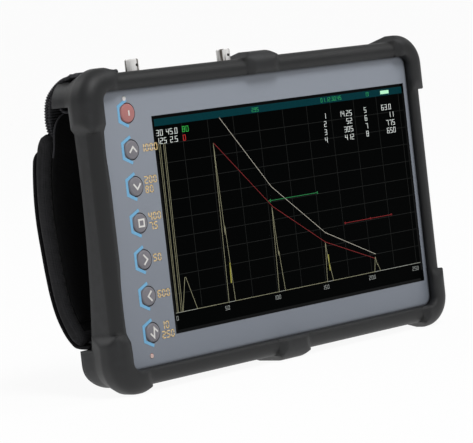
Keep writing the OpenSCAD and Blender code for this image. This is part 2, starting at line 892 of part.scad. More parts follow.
// One snap dome switch under each key
module key_switches() {
  color([0.8, 0.78, 0.7])
    for (i = [0 : key_count - 1])
      translate([-key_x, board_y, key_z(i)])
        rotate([90, 0, 0])
          rotate_extrude($fn = mid)
            polygon([[0, 0], [stem_d, 0], [stem_d, switch_t / 2], [stem_d / 2, switch_t], [0, switch_t]]);
}

// Light guides that stand on the keypad board
module status_light() {
  color([0.9, 0.9, 0.88])
    status_rod(light_d, front - window_gap, board_y);
}

module charge_light() {
  color([0.7, 0.45, 0.45])
    charge_rod(light_d, front - window_gap, board_y);
}

// One probe socket: a plated barrel over a threaded part, with a shoulder inside the case
module probe_socket(x) {
  z1 = mid_z + case_h - case_wall;
  z2 = mid_z + half_h + socket_rise;
  z_thread = mid_z + case_h + nut_t;
  bevel = window_recess * 2;
  color([0.82, 0.83, 0.84])
    translate([x, socket_back - origin_back, 0])
      difference() {
        rotate_extrude($fn = fine)
          polygon([[0, z1 - shoulder_t], [shoulder_d / 2, z1 - shoulder_t], [shoulder_d / 2, z1],
            [thread_d / 2, z1], [thread_d / 2, z_thread], [socket_d / 2, z_thread], [socket_d / 2, z2 - bevel],
            [socket_d / 2 - bevel, z2], [0, z2]]);
        translate([0, 0, z1 - shoulder_t - over])
          cylinder(h = z2 - z1 + shoulder_t + 2 * over, d = socket_bore_d, $fn = fine);
      }
}

module transmit_socket() {
  probe_socket(-transmit_x);
}

module receive_socket() {
  probe_socket(-receive_x);
}

// Ring nuts that clamp the sockets on the case
module socket_nuts() {
  z = mid_z + case_h;
  color([0.9, 0.9, 0.9])
    difference() {
      sockets(nut_d, z, z + nut_t);
      sockets(thread_d + over / 3, z - over, z + nut_t + over);
    }
}

// White insulators at the bottom of the socket bores
module socket_insulators() {
  z0 = mid_z + case_h - case_wall - shoulder_t;
  z1 = mid_z + half_h + socket_rise - socket_depth;
  color([0.92, 0.92, 0.88])
    difference() {
      sockets(socket_bore_d, z0, z1);
      sockets(contact_hole_d, z0 - over, z1 + over);
    }
}

// Centre contacts in the insulators
module socket_contacts() {
  z0 = mid_z + case_h - case_wall - shoulder_t;
  z1 = mid_z + half_h + socket_rise;
  color([0.8, 0.65, 0.3])
    sockets(contact_hole_d, z0 - window_border, z1 - socket_depth / 3);
}

// Main board on its four posts
module main_board() {
  color([0.1, 0.35, 0.2])
    slab(main_y, main_rear)
      translate([bulge_mid - main_board_w / 2, mid_z - main_board_h / 2])
        square([main_board_w, main_board_h]);
}

// Shield can over the pulser circuit, open toward the board
module pulser_shield() {
  x = bulge_mid - main_board_w / 2 + ear;
  color([0.75, 0.76, 0.78])
    difference() {
      translate([x, main_rear, shield_z])
        cube([shield_w, shield_t, shield_h]);
      translate([x + shield_wall, main_rear - over, shield_z + shield_wall])
        cube([shield_w - 2 * shield_wall, shield_t - shield_wall + over, shield_h - 2 * shield_wall]);
    }
}

// Sounder on the main board
module sounder() {
  x = bulge_mid + main_board_w / 4;
  z = shield_z + shield_h / 2;
  color([0.1, 0.1, 0.1])
    difference() {
      rod(x, z, main_rear, main_rear + sounder_t, sounder_d);
      rod(x, z, main_rear + sounder_t / 2, main_rear + sounder_t + over, case_wall);
    }
}

// Battery pack with rounded long edges, just in front of its door
module battery_pack() {
  r = battery_t / 4;
  color([0.2, 0.3, 0.45])
    translate([bulge_mid, battery_y, battery_z - battery_h / 2])
      linear_extrude(battery_h)
        round_rect(-battery_w / 2, 0, battery_w / 2, battery_t, r);
}

// Three spring contacts between the main board and the battery
module battery_contacts() {
  color([0.8, 0.65, 0.3])
    for (i = [-1, 0, 1])
      translate([bulge_mid + i * ear - case_wall / 2, main_rear, battery_z])
        cube([case_wall, battery_y - main_rear, case_wall * 2]);
}

// Battery door, flush in the rear face
module battery_door() {
  color([0.18, 0.18, 0.19])
    difference() {
      slab(bulge_y - door_t, bulge_y)
        door_rect(door_w, door_h);
      for (x = [-1, 1]) {
        rod(bulge_mid + x * door_screw_x(), battery_z, bulge_y - door_t - over, bulge_y + over,
          door_screw_d + over / 3);
        rod(bulge_mid + x * door_screw_x(), battery_z, bulge_y - door_t / 2, bulge_y + over,
          door_screw_d * 1.8 + over);
      }
    }
}

// Two screws that hold the battery door
module door_screws() {
  color("silver")
    for (x = [-1, 1])
      difference() {
        union() {
          rod(bulge_mid + x * door_screw_x(), battery_z, bulge_y - door_t - ledge_t, bulge_y - door_t / 4,
            door_screw_d);
          rod(bulge_mid + x * door_screw_x(), battery_z, bulge_y - door_t / 2, bulge_y, door_screw_d * 1.8);
        }
        hex_recess(bulge_mid + x * door_screw_x(), battery_z, bulge_y, door_screw_d * 0.6);
      }
}

// Charge port on the front of the main board, open toward the right side
module charge_port() {
  h = port_t - 2 * shield_wall;
  z = mid_z - battery_h / 2;
  color([0.75, 0.76, 0.78])
    difference() {
      translate([case_w - port_l, main_y - port_t, z - port_w / 2])
        cube([port_l, port_t, port_w]);
      translate([case_w - port_l * 0.8, main_y - port_t + shield_wall, z - port_w / 2 + shield_wall])
        cube([port_l, h, port_w - 2 * shield_wall]);
    }
}

// Two rear feet, level with the bumps
module rear_feet() {
  y = (boot_back + bulge_back - bulge_bevel) / 2 - origin_back;
  color([0.1, 0.1, 0.1])
    for (x = [screen_x - lug_w / 2, bulge_mid + lug_w])
      translate([x, y, 0])
        cylinder(h = mid_z - case_h, d1 = foot_d - case_wall, d2 = foot_d, $fn = fine);
}

// Depths of the hollows in the left rail and their heights, as shares of the waist and of the full height
waist_shares = [[0, 0.1], [0.5, 0.153], [0.92, 0.2], [1, 0.245], [1, 0.283], [0.87, 0.345], [0.45, 0.398],
  [0.06, 0.45], [0, 0.5], [0, 0.56], [0.05, 0.612], [0.5, 0.673], [0.76, 0.735], [0.66, 0.785], [0.48, 0.82],
  [0, 0.87]];

// Routes of the strap parts as shares of the strap depth and of the full height
upper_route_shares = [[0.147, 0.888], [0.147, 0.933], [0.154, 0.9594], [0.2035, 0.9732], [0.298, 0.9732],
  [0.421, 0.964], [0.547, 0.948], [0.66, 0.926], [0.723, 0.897], [0.747, 0.86], [0.737, 0.826]];
under_route_shares = [[0.147, 0.898], [0.158, 0.8845], [0.2175, 0.8783], [0.337, 0.8783], [0.4105, 0.8875],
  [0.421, 0.9105], [0.4386, 0.9288], [0.505, 0.9357], [0.6105, 0.9174], [0.66, 0.892], [0.684, 0.8585],
  [0.674, 0.8187]];
lower_route_shares = [[0.383, 0.1665], [0.3, 0.1645], [0.215, 0.1625], [0.158, 0.152], [0.1474, 0.1262],
  [0.1474, 0.0941]];
pad_route_shares = [[0.7123, 0.811], [0.7509, 0.785], [0.793, 0.7544], [0.8351, 0.7192], [0.8737, 0.6695],
  [0.9018, 0.6083], [0.9053, 0.5394], [0.8772, 0.4591], [0.8421, 0.3826], [0.7965, 0.3175], [0.7228, 0.2617],
  [0.6105, 0.2165], [0.4982, 0.1913], [0.393, 0.176]];
liner_route_shares = [[0.5614, 0.878], [0.5807, 0.8531], [0.5947, 0.8263], [0.6337, 0.777], [0.6749, 0.747],
  [0.715, 0.7136], [0.752, 0.6659], [0.7791, 0.6067], [0.7825, 0.5404], [0.7549, 0.4615], [0.7202, 0.3858],
  [0.6763, 0.323], [0.6089, 0.2717], [0.5105, 0.2321]];
flap_route_shares = [[0.951, 0.7697], [1.0032, 0.727], [1.0442, 0.6745], [1.0733, 0.6104], [1.0772, 0.538],
  [1.0484, 0.4557], [1.0126, 0.3781], [0.9649, 0.3098], [0.8821, 0.2477], [0.7505, 0.1948], [0.6056, 0.1621]];

function route(shares) = [for (s = shares) [s[0] * strap_stand, s[1] * full_h]];

// A smooth curve through points, with n steps between two of them
function bend(p, n) = let (last = len(p) - 1)
  [for (i = [0 : last - 1], k = [0 : n - 1])
    let (t = k / n, a = p[max(i - 1, 0)], b = p[i], c = p[i + 1], d = p[min(i + 2, last)])
    (2 * b + (c - a) * t + (2 * a - 5 * b + 4 * c - d) * t * t + (3 * b - a - 3 * c + d) * t * t * t) / 2,
    p[last]];

// Direction across a curve at one of its points
function across(p, i) = let (d = p[min(i + 1, len(p) - 1)] - p[max(i - 1, 0)]) [-d[1], d[0]] / norm(d);

// Outline of a band of one thickness along a curve
function band(p, t) = concat([for (i = [0 : len(p) - 1]) p[i] + across(p, i) * t / 2],
  [for (i = [len(p) - 1 : -1 : 0]) p[i] - across(p, i) * t / 2]);

module webbing(shares) {
  side_slab(-webbing_left, webbing_w - webbing_left)
    polygon(band(bend(route(shares), 4), webbing_t));
}

// Hook and loop flap that closes the strap over the outside of the pad
module closure_flap() {
  color([0.12, 0.12, 0.13])
    side_slab(flap_in - half_w, flap_in - half_w + flap_w)
      polygon(band(bend(route(flap_route_shares), 4), flap_t));
}

// Upper webbing: led through the slot, round the beam of the lug and back on itself
module upper_webbing() {
  color([0.12, 0.12, 0.13]) {
    webbing(upper_route_shares);
    webbing(under_route_shares);
  }
}

// Lower webbing, from the end of the pad down to the bar in the lower lug
module lower_webbing() {
  color([0.12, 0.12, 0.13])
    webbing(lower_route_shares);
}

// Half outline of the pad: places across its width with shares of the thickness
pad_shares = [[-1, 0.3], [-0.97, 0.8], [-0.88, 1], [-0.6, 1], [-0.25, 1], [0.25, 1], [0.6, 1], [0.88, 1],
  [0.97, 0.8], [1, 0.3]];

// One cross section of the pad: side is 1 on the crowned outside and -1 on the inside
function pad_point(p, i, u, side) = let (
    s = i / (len(p) - 1),
    e = min(1, min(s, 1 - s) * 14),
    f = 0.3 + 0.7 * sqrt(1 - (1 - e) * (1 - e)),
    w = pad_w / 2 * (0.8 + 0.2 * f) * (1 - 0.02 * sin(180 * s)),
    crown = side > 0 ? (pad_t - pad_edge_t) * (1 - u[0] * u[0]) : 0,
    q = p[i] + across(p, i) * side * f * u[1] * (pad_edge_t / 2 + crown))
  [pad_w / 2 - pad_left + w * u[0], q[0], q[1]];

// Padded strap: a crowned cushion with bound edges and rounded ends, led along its route
module strap_pad() {
  p = bend(route(pad_route_shares), 3);
  n = len(p);
  u = pad_shares;
  m = 2 * len(u);
  points = [for (i = [0 : n - 1]) each concat([for (a = u) pad_point(p, i, a, 1)],
    [for (k = [len(u) - 1 : -1 : 0]) pad_point(p, i, u[k], -1)])];
  skin = [for (i = [0 : n - 2], k = [0 : m - 1])
    [i * m + k, i * m + (k + 1) % m, (i + 1) * m + (k + 1) % m, (i + 1) * m + k]];
  ends = [[for (k = [m - 1 : -1 : 0]) k], [for (k = [0 : m - 1]) (n - 1) * m + k]];
  color([0.1, 0.1, 0.1])
    polyhedron(points, concat(skin, ends));
}

// Liner on the hand side of the pad, with its rounded upper end in front of the webbing
module strap_liner() {
  x0 = -webbing_left;
  x1 = webbing_w - webbing_left;
  p = route(liner_route_shares);
  color([0.13, 0.13, 0.13])
    intersection() {
      side_slab(x0, x1)
        polygon(band(bend(p, 3), liner_t));
      slab(0, strap_stand)
        round_rect(x0, p[len(p) - 1][1] - liner_t, x1, p[0][1], liner_r);
    }
}

rubber_boot();
front_case();
rear_case();
case_seal();
case_screws();
front_panel();
display_window();
display_module();
display_bracket();
power_key();
up_key();
down_key();
select_key();
right_key();
left_key();
step_key();
keypad_board();
key_switches();
status_light();
charge_light();
transmit_socket();
receive_socket();
socket_nuts();
socket_insulators();
socket_contacts();
main_board();
pulser_shield();
sounder();
battery_pack();
battery_contacts();
battery_door();
door_screws();
charge_port();
rear_feet();
upper_strap_bar();
lower_strap_bar();
upper_webbing();
lower_webbing();
strap_pad();
strap_liner();
closure_flap();
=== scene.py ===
import math

import bmesh
import bpy
from mathutils import Matrix, Vector


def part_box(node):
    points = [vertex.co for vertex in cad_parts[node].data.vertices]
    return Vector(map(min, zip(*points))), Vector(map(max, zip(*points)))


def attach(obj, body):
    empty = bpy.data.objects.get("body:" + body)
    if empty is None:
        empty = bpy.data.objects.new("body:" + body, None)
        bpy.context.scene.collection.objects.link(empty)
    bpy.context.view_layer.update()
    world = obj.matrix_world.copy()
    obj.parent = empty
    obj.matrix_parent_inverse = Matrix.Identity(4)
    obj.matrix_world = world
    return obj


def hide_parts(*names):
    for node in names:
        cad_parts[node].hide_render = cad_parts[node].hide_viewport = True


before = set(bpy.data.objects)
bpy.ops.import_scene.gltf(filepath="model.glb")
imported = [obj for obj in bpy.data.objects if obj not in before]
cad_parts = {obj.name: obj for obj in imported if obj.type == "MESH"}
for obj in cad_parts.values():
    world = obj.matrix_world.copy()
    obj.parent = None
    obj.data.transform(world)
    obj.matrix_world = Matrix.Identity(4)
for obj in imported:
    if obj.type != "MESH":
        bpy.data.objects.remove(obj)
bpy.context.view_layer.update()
MM = 0.001
BODY = "instrument"

# Camera
# The view of the photograph: from the front left, a little above the middle, with a long lens.
# Its place was fitted to the four corners of the seven inch screen, whose real size is known.
scene = bpy.context.scene
PHOTO_AZIMUTH = math.radians(-45.53)
PHOTO_ELEVATION = math.radians(3.48)
PHOTO_ROLL = math.radians(-6.5)
PHOTO_LENS, SENSOR_WIDTH = 199.7, 36
EYE = Vector((-798.99, -770.24, 127.33)) * MM


def photo_camera():
    """The fitted camera, turned about its own line of sight by the roll."""
    back = Vector((math.sin(PHOTO_AZIMUTH) * math.cos(PHOTO_ELEVATION),
                   -math.cos(PHOTO_AZIMUTH) * math.cos(PHOTO_ELEVATION),
                   math.sin(PHOTO_ELEVATION)))
    level = (-back).cross(Vector((0, 0, 1))).normalized()
    upright = level.cross(-back)
    cosine, sine = math.cos(PHOTO_ROLL), math.sin(PHOTO_ROLL)
    right = level * cosine + upright * sine
    up = upright * cosine - level * sine
    data = bpy.data.cameras.new("photo_camera")
    data.sensor_width = SENSOR_WIDTH
    data.lens = PHOTO_LENS
    data.clip_start, data.clip_end = 0.05, 20
    camera = bpy.data.objects.new("photo_camera", data)
    camera.matrix_world = Matrix.Translation(EYE) @ Matrix((right, up, back)).transposed().to_4x4()
    scene.collection.objects.link(camera)
    return camera


scene.camera = photo_camera()
scene.view_settings.view_transform = "Standard"

# Floor and light
# A pale paper floor that bends up behind the object, one large soft lamp over the front left, weaker
# ones over the front right and behind, and an even pale surround that keeps the shadows open.
SHOWN_WHITE, SURROUND = 0.93, 0.36
PAPER_CLOUD = 100 * MM
FLOOR_HALF, FLOOR_RUN, FLOOR_BEND, BEND_STEPS = 3.0, 2.0, 2.4, 8
LAMP_AIM = Vector((0, 0, 65 * MM))


def linear(hex_colour):
    """An sRGB hex colour as the linear colour that shaders use."""
    parts = [int(hex_colour[i:i + 2], 16) / 255 for i in (1, 3, 5)]
    return tuple(c / 12.92 if c <= 0.04045 else ((c + 0.055) / 1.055) ** 2.4 for c in parts) + (1.0,)


def add(material, kind, links=None, **settings):
    """One shader node with its settings, fed by values, hex colours or what other nodes give."""
    tree = material.node_tree
    made = tree.nodes.new("ShaderNode" + kind)
    for name, value in settings.items():
        setattr(made, name, value)
    usable = [socket for socket in made.inputs if socket.enabled]
    sockets = dict(enumerate(usable)) | {socket.name: socket for socket in usable}
    for key, value in (links or {}).items():
        if isinstance(value, bpy.types.Node):
            value = next(socket for socket in value.outputs if socket.enabled)
        if isinstance(value, bpy.types.NodeSocket):
            tree.links.new(value, sockets[key])
        else:
            sockets[key].default_value = linear(value) if isinstance(value, str) else value
    return made


def new_material(name):
    """A material without nodes, and its object coordinates, which are metres in the part's frame."""
    material = bpy.data.materials.new(name)
    material.use_nodes = True
    material.node_tree.nodes.clear()
    return material, add(material, "TexCoord").outputs["Object"]


def finished(material, shader):
    """The material with a shader on its surface."""
    add(material, "OutputMaterial", {"Surface": shader})
    return material


def pale_floor():
    """Matt paper: white to the camera and in reflections, a little darker in the object's shadow."""
    material = new_material("matt_white_paper")[0]
    clouds = 2 * FLOOR_HALF / PAPER_CLOUD  # across the floor, whose width counts as one in this noise
    cloud = add(material, "TexNoise", {"Scale": clouds, "Detail": 4.0})
    tint = add(material, "MapRange", {"Value": cloud, "To Min": 0.86, "To Max": 0.9})
    paper = add(material, "BsdfDiffuse", {"Color": tint, "Roughness": 1.0})
    white = add(material, "Emission", {"Color": "#FFFFFF", "Strength": 1.0})
    ray = add(material, "LightPath").outputs
    seen = ray["Is Camera Ray"]
    for other in ("Is Glossy Ray", "Is Transmission Ray"):
        seen = add(material, "Math", {0: seen, 1: ray[other]}, operation="MAXIMUM")
    share = add(material, "Math", {0: seen, 1: SHOWN_WHITE}, operation="MULTIPLY")
    shown = add(material, "MixShader", {0: share, 1: paper, 2: white})
    return finished(material, shown)


def studio():
    """The floor runs flat under the object and bends up behind it in a quarter round."""
    bend = [math.pi / 2 * k / BEND_STEPS for k in range(1, BEND_STEPS + 1)]
    profile = [(-FLOOR_HALF, 0), (FLOOR_RUN, 0)]
    profile += [(FLOOR_RUN + FLOOR_BEND * math.sin(a), FLOOR_BEND * (1 - math.cos(a))) for a in bend]
    points = [(x, y, z) for x in (-FLOOR_HALF, FLOOR_HALF) for y, z in profile]
    n = len(profile)
    mesh = bpy.data.meshes.new("studio_floor")
    mesh.from_pydata(points, [], [(i, i + 1, n + i + 1, n + i) for i in range(n - 1)])
    mesh.update()
    for face in mesh.polygons:
        face.use_smooth = True
    mesh.materials.append(pale_floor())
    floor = bpy.data.objects.new("studio_floor", mesh)
    floor.rotation_euler.z = PHOTO_AZIMUTH
    scene.collection.objects.link(floor)


def lamp(name, place, size, power):
    """A round soft lamp, its size in metres and its power in watts, that looks at the object."""
    data = bpy.data.lights.new(name, "AREA")
    data.shape, data.size, data.energy = "DISK", size, power
    made = bpy.data.objects.new(name, data)
    made.location = place
    made.rotation_euler = (LAMP_AIM - Vector(place)).to_track_quat("-Z", "Y").to_euler()
    scene.collection.objects.link(made)


studio()
lamp("key_lamp", (-0.5, -1.6, 2.1), 1.0, 34)
lamp("fill_lamp", (1.5, -1.2, 1.9), 1.4, 13)
lamp("back_lamp", (-0.6, 2.2, 1.8), 1.6, 13)
scene.world = bpy.data.worlds.new("studio_world")
scene.world.use_nodes = True
pale_surround = scene.world.node_tree.nodes["Background"].inputs
pale_surround["Color"].default_value = linear("#FFFFFF")
pale_surround["Strength"].default_value = SURROUND

# Rubber boot
# One moulded charcoal rubber sleeve with raised bumps, stretched over the case.
# Its eroded grain, drawn coarser than the real one so that it shows, gives a soft dull sheen.
RUBBER_GRAIN, BOOT_RELIEF = 0.6 * MM, 0.05 * MM
BLOOM_SIZE, SCUFF_SIZE = 18 * MM, 3 * MM
EDGE_SOFTNESS, BOOT_SHADE_REACH = 3.2 * MM, 3 * MM


def corner_shade(material, colour, reach, deep):
    """A colour that turns toward deep shade where another surface stands within reach."""
    nearby = add(material, "AmbientOcclusion", {"Distance": reach}, samples=6).outputs["AO"]
    shade = add(material, "MapRange", {"Value": nearby, "From Min": 0.9, "From Max": 0.5})
    return add(material, "Mix", {"Factor": shade, "A": colour, "B": deep}, data_type="RGBA")


def moulded_rubber(name, dark, pale, scuff, relief):
    """Moulded rubber: even dark colour, cloudy bloom, edges scuffed a little paler, a fine grain, and painted
    shade where another surface stands close.
    """
    material, place = new_material(name)
    cloud = add(material, "TexNoise", {"Vector": place, "Scale": 1 / BLOOM_SIZE, "Detail": 4.0})
    bloom = add(material, "MapRange", {"Value": cloud, "From Min": 0.35, "From Max": 0.7})
    even = add(material, "Mix", {"Factor": bloom, "A": dark, "B": pale}, data_type="RGBA")
    bend = add(material, "NewGeometry").outputs["Pointiness"]
    edge = add(material, "MapRange", {"Value": bend, "From Min": 0.505, "From Max": 0.56})
    patch = add(material, "TexNoise", {"Vector": place, "Scale": 1 / SCUFF_SIZE, "Detail": 3.0})
    worn = add(material, "Math", {0: edge, 1: patch}, operation="MULTIPLY")
    scuffed = add(material, "Mix", {"Factor": worn, "A": even, "B": scuff}, data_type="RGBA")
    # Painted shade: the colour darkens toward near black where another surface stands within reach.
    colour = corner_shade(material, scuffed, BOOT_SHADE_REACH, "#0E0E0F")
    soft = add(material, "Bevel", {"Radius": EDGE_SOFTNESS}, samples=6)
    grain = add(material, "TexNoise", {"Vector": place, "Scale": 1 / RUBBER_GRAIN})
    bump = add(material, "Bump", {"Height": grain, "Strength": 0.5, "Distance": relief, "Normal": soft})
    shader = add(material, "BsdfPrincipled", {"Base Color": colour, "Roughness": 0.5,
                                              "Specular IOR Level": 0.42, "Normal": bump})
    return finished(material, shader)


def finish_nodes(material, *nodes):
    """Gives CAD nodes their finish, with the meshes left as they are."""
    for node in nodes:
        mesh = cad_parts[node].data
        mesh.materials.clear()
        mesh.materials.append(material)


boot_rubber = moulded_rubber("charcoal_moulded_rubber", "#131415", "#191A1B", "#303133", BOOT_RELIEF)
finish_nodes(boot_rubber, "rubber_boot")

# Case, battery door and small hidden plastic parts
# Injection moulded ABS with a spark-eroded matt texture, nearly black, drawn coarse enough to show.
# The seal and the feet are smooth black rubber, pressed into their seats.
CASE_GRAIN, CASE_RELIEF, SEAL_RELIEF = 0.5 * MM, 0.04 * MM, 0.02 * MM


def textured_abs(name, dark, pale):
    """Moulded ABS with a matt eroded texture, a little lighter where the grain catches light."""
    material, place = new_material(name)
    grain = add(material, "TexNoise", {"Vector": place, "Scale": 1 / CASE_GRAIN})
    colour = add(material, "Mix", {"Factor": grain, "A": dark, "B": pale}, data_type="RGBA")
    bump = add(material, "Bump", {"Height": grain, "Strength": 0.6, "Distance": CASE_RELIEF})
    shader = add(material, "BsdfPrincipled", {"Base Color": colour, "Roughness": 0.55, "Normal": bump})
    return finished(material, shader)


case_abs = textured_abs("black_textured_abs", "#202123", "#2C2D2F")
black_rubber = moulded_rubber("black_smooth_rubber", "#161617", "#1E1E1F", "#2C2C2D", SEAL_RELIEF)
finish_nodes(case_abs, "front_case", "rear_case", "battery_door", "sounder")
finish_nodes(black_rubber, "case_seal", "rear_feet")

# Screws, brackets, shields and strap bars
# Zinc plated steel, turned or stamped, with fine brush lines that run one way.
# The battery springs and the socket contacts are bright brass.
BRUSH_LINE = 0.2 * MM


def plated_metal(name, low, high, roughness, line=BRUSH_LINE, stretch=(1, 1, 12), metal=1.0,
                 streaks=(0.35, 0.65)):
    """Plated metal: fine lines in its tone and sheen, one line wide and drawn out along the stretch. On
    polished nickel these lines are painted reflections.
    """
    material, place = new_material(name)
    stretched = add(material, "Mapping", {"Vector": place, "Scale": stretch})
    lines = add(material, "TexNoise", {"Vector": stretched, "Scale": 1 / (max(stretch) * line)})
    tone = add(material, "MapRange", {"Value": lines, "From Min": streaks[0], "From Max": streaks[1]})
    colour = add(material, "Mix", {"Factor": tone, "A": low, "B": high}, data_type="RGBA")
    rough = add(material, "MapRange", {"Value": lines, "To Min": roughness * 0.8,
                                       "To Max": roughness * 1.25})
    shader = add(material, "BsdfPrincipled", {"Base Color": colour, "Metallic": metal, "Roughness": rough})
    return finished(material, shader)


zinc_steel = plated_metal("zinc_plated_steel", "#B4B5B8", "#D0D1D3", 0.32)
brass = plated_metal("bright_brass", "#B9975A", "#D8B877", 0.25)
finish_nodes(zinc_steel, "case_screws", "door_screws", "display_bracket", "pulser_shield", "charge_port",
             "upper_strap_bar", "lower_strap_bar")
finish_nodes(brass, "battery_contacts", "socket_contacts")

# Boards, switches and battery inside the case
# Epoxy glass boards under green resist with tinned tracks, stacked behind the panel.
# The snap domes are cream plastic, and the battery is a pack of cells in blue shrink film.
TRACK_PITCH, TRACK_SHARE = 2.5 * MM, 0.04
RIPPLE_SIZE, RIPPLE_RELIEF = 6 * MM, 0.2 * MM


def solder_resist():
    """Green resist: glossy, with paler tracks that show through as a net."""
    material, place = new_material("green_solder_resist")
    turned = add(material, "Mapping", {"Vector": place, "Rotation": (math.pi / 2, 0, 0)})
    tracks = add(material, "TexBrick", {"Vector": turned, "Scale": 1 / TRACK_PITCH,
                                        "Mortar Size": TRACK_SHARE, "Mortar": "#2C7A48",
                                        "Color1": "#0F4A26", "Color2": "#145A30"})
    shader = add(material, "BsdfPrincipled", {"Base Color": tracks, "Roughness": 0.3})
    return finished(material, shader)


def glossy_plastic(name, low, high):
    """Shrunk film or smooth moulded plastic: glossy, with soft ripples."""
    material, place = new_material(name)
    ripple = add(material, "TexNoise", {"Vector": place, "Scale": 1 / RIPPLE_SIZE, "Detail": 3.0})
    colour = add(material, "Mix", {"Factor": ripple, "A": low, "B": high}, data_type="RGBA")
    bump = add(material, "Bump", {"Height": ripple, "Strength": 0.4, "Distance": RIPPLE_RELIEF})
    shader = add(material, "BsdfPrincipled", {"Base Color": colour, "Roughness": 0.28, "Normal": bump})
    return finished(material, shader)


finish_nodes(solder_resist(), "main_board", "keypad_board")
finish_nodes(glossy_plastic("blue_shrink_film", "#22365A", "#2F4870"), "battery_pack")
finish_nodes(glossy_plastic("cream_dome_plastic", "#CFC8AE", "#DDD7C2"), "key_switches")
finish_nodes(glossy_plastic("white_insulator_plastic", "#E4E3DB", "#F0EFE9"), "socket_insulators")

# Front panel
# A blue-grey lacquered plate under a satin film, with the window and the key holes cut through.
# The film is faintly grained, and the colour falls off a little toward the lower edge.
PANEL_LOW, PANEL_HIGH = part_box("front_panel")
FILM_GRAIN, FILM_RELIEF, PANEL_SHADE_REACH = 0.5 * MM, 0.02 * MM, 1.4 * MM


def satin_panel():
    """Lacquer under film: a satin sheen, and painted shade in the colour where the boot's lip or a key stands
    close.
    """
    material, place = new_material("blue_grey_satin_lacquer")
    height = add(material, "SeparateXYZ", {"Vector": place}).outputs["Z"]
    fall = add(material, "MapRange", {"Value": height, "From Min": PANEL_LOW.z, "From Max": PANEL_HIGH.z})
    lacquer = add(material, "Mix", {"Factor": fall, "A": "#7C828C", "B": "#9096A0"}, data_type="RGBA")
    # Painted shade: the lacquer darkens toward near black where another surface stands within reach.
    colour = corner_shade(material, lacquer, PANEL_SHADE_REACH, "#0C0C0E")
    grain = add(material, "TexNoise", {"Vector": place, "Scale": 1 / FILM_GRAIN})
    bump = add(material, "Bump", {"Height": grain, "Strength": 0.35, "Distance": FILM_RELIEF})
    shader = add(material, "BsdfPrincipled", {"Base Color": colour, "Roughness": 0.42,
                                              "Specular IOR Level": 0.45, "Normal": bump})
    return finished(material, shader)


finish_nodes(satin_panel(), "front_panel")

# Display
# Dark cover glass over the display module, bonded edge to edge and level with the panel.
# The picture lies in thin plates on the glass: see the section on it further down.
SMEAR_SIZE = 25 * MM
SCREEN_MID = Vector((13.0, 0, 64.85)) * MM
GLASS_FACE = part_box("display_window")[0].y


def dark_glass():
    """Cover glass with a dull coat: nearly black, with faint smears and very little glare."""
    material, place = new_material("dark_cover_glass")
    smear = add(material, "TexNoise", {"Vector": place, "Scale": 1 / SMEAR_SIZE, "Detail": 4.0})
    rough = add(material, "MapRange", {"Value": smear, "To Min": 0.06, "To Max": 0.16})
    shader = add(material, "BsdfPrincipled", {"Base Color": "#020303", "Roughness": rough,
                                              "Specular IOR Level": 0.06})
    return finished(material, shader)


finish_nodes(dark_glass(), "display_window", "display_module")

# Keys
# Seven round silicone caps, matt grey and one dull red, with a soft crown and a rounded rim.
# Each cap rides on its own body, has a flange behind the panel and carries a printed white sign.
KEY_NODES = ["power_key", "up_key", "down_key", "select_key", "right_key", "left_key", "step_key"]
KEY_RADIUS, KEY_RIM, KEY_CROWN = 3.9 * MM, 0.9 * MM, 0.35 * MM
KEY_TALL, FLANGE_THICK, STEM_RADIUS, RIM_STEPS = 4.1 * MM, 0.8 * MM, 1.5 * MM, 6
DUST_SIZE, SILICONE_GRAIN, SILICONE_RELIEF = 2.5 * MM, 0.4 * MM, 0.02 * MM
INK_CLOUD = 1.2 * MM


def new_piece(name, skin, material, body=BODY, smooth=True):
    """A mesh piece from a skin of points and faces, which rides on a body and takes a finish."""
    mesh = bpy.data.meshes.new(name)
    mesh.from_pydata(skin[0], [], skin[1])
    mesh.validate()
    shape = bmesh.new()
    shape.from_mesh(mesh)
    bmesh.ops.recalc_face_normals(shape, faces=shape.faces)
    shape.to_mesh(mesh)
    shape.free()
    for face in mesh.polygons:
        face.use_smooth = smooth
    piece = bpy.data.objects.new(name, mesh)
    scene.collection.objects.link(piece)
    piece.data.materials.append(material)
    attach(piece, body)
    return piece


def loft(rings):
    """Closed rings of equal length joined into one skin with two end faces."""
    m, last = len(rings[0]), (len(rings) - 1) * len(rings[0])
    points = [tuple(point) for ring in rings for point in ring]
    faces = [(i + k, i + (k + 1) % m, i + m + (k + 1) % m, i + m + k)
             for i in range(0, last, m) for k in range(m)]
    faces += [tuple(range(m - 1, -1, -1)), tuple(range(last, last + m))]
    return points, faces


def lathe(profile, centre, steps=48):
    """A turned shape about an axis along Y: the profile holds radius and depth pairs."""
    turn = [2 * math.pi * k / steps for k in range(steps)]
    return loft([[(centre.x + r * math.cos(a), y, centre.z + r * math.sin(a)) for a in turn]
                 for r, y in profile])


def silicone(name, low, high):
    """Matt silicone: even colour, a faint dusty bloom and a soft sheen."""
    material, place = new_material(name)
    dust = add(material, "TexNoise", {"Vector": place, "Scale": 1 / DUST_SIZE, "Detail": 3.0})
    colour = add(material, "Mix", {"Factor": dust, "A": low, "B": high}, data_type="RGBA")
    grain = add(material, "TexNoise", {"Vector": place, "Scale": 1 / SILICONE_GRAIN})
    bump = add(material, "Bump", {"Height": grain, "Strength": 0.3, "Distance": SILICONE_RELIEF})
    shader = add(material, "BsdfPrincipled", {"Base Color": colour, "Roughness": 0.55, "Normal": bump})
    return finished(material, shader)


def printed(name, low, high):
    """Screen printed ink: flat colour with slightly uneven cover."""
    material, place = new_material(name)
    cover = add(material, "TexNoise", {"Vector": place, "Scale": 1 / INK_CLOUD})
    colour = add(material, "Mix", {"Factor": cover, "A": low, "B": high}, data_type="RGBA")
    shader = add(material, "BsdfPrincipled", {"Base Color": colour, "Roughness": 0.5})
    return finished(material, shader)


grey_silicone = silicone("grey_silicone", "#76747A", "#7E7C82")
red_silicone = silicone("dull_red_silicone", "#AA6E6B", "#B67A77")
white_ink = printed("white_printed_ink", "#DAD8D4", "#E6E4E0")
MITRE_LEAST = 0.3  # keeps a sharp corner's mitre from running far out


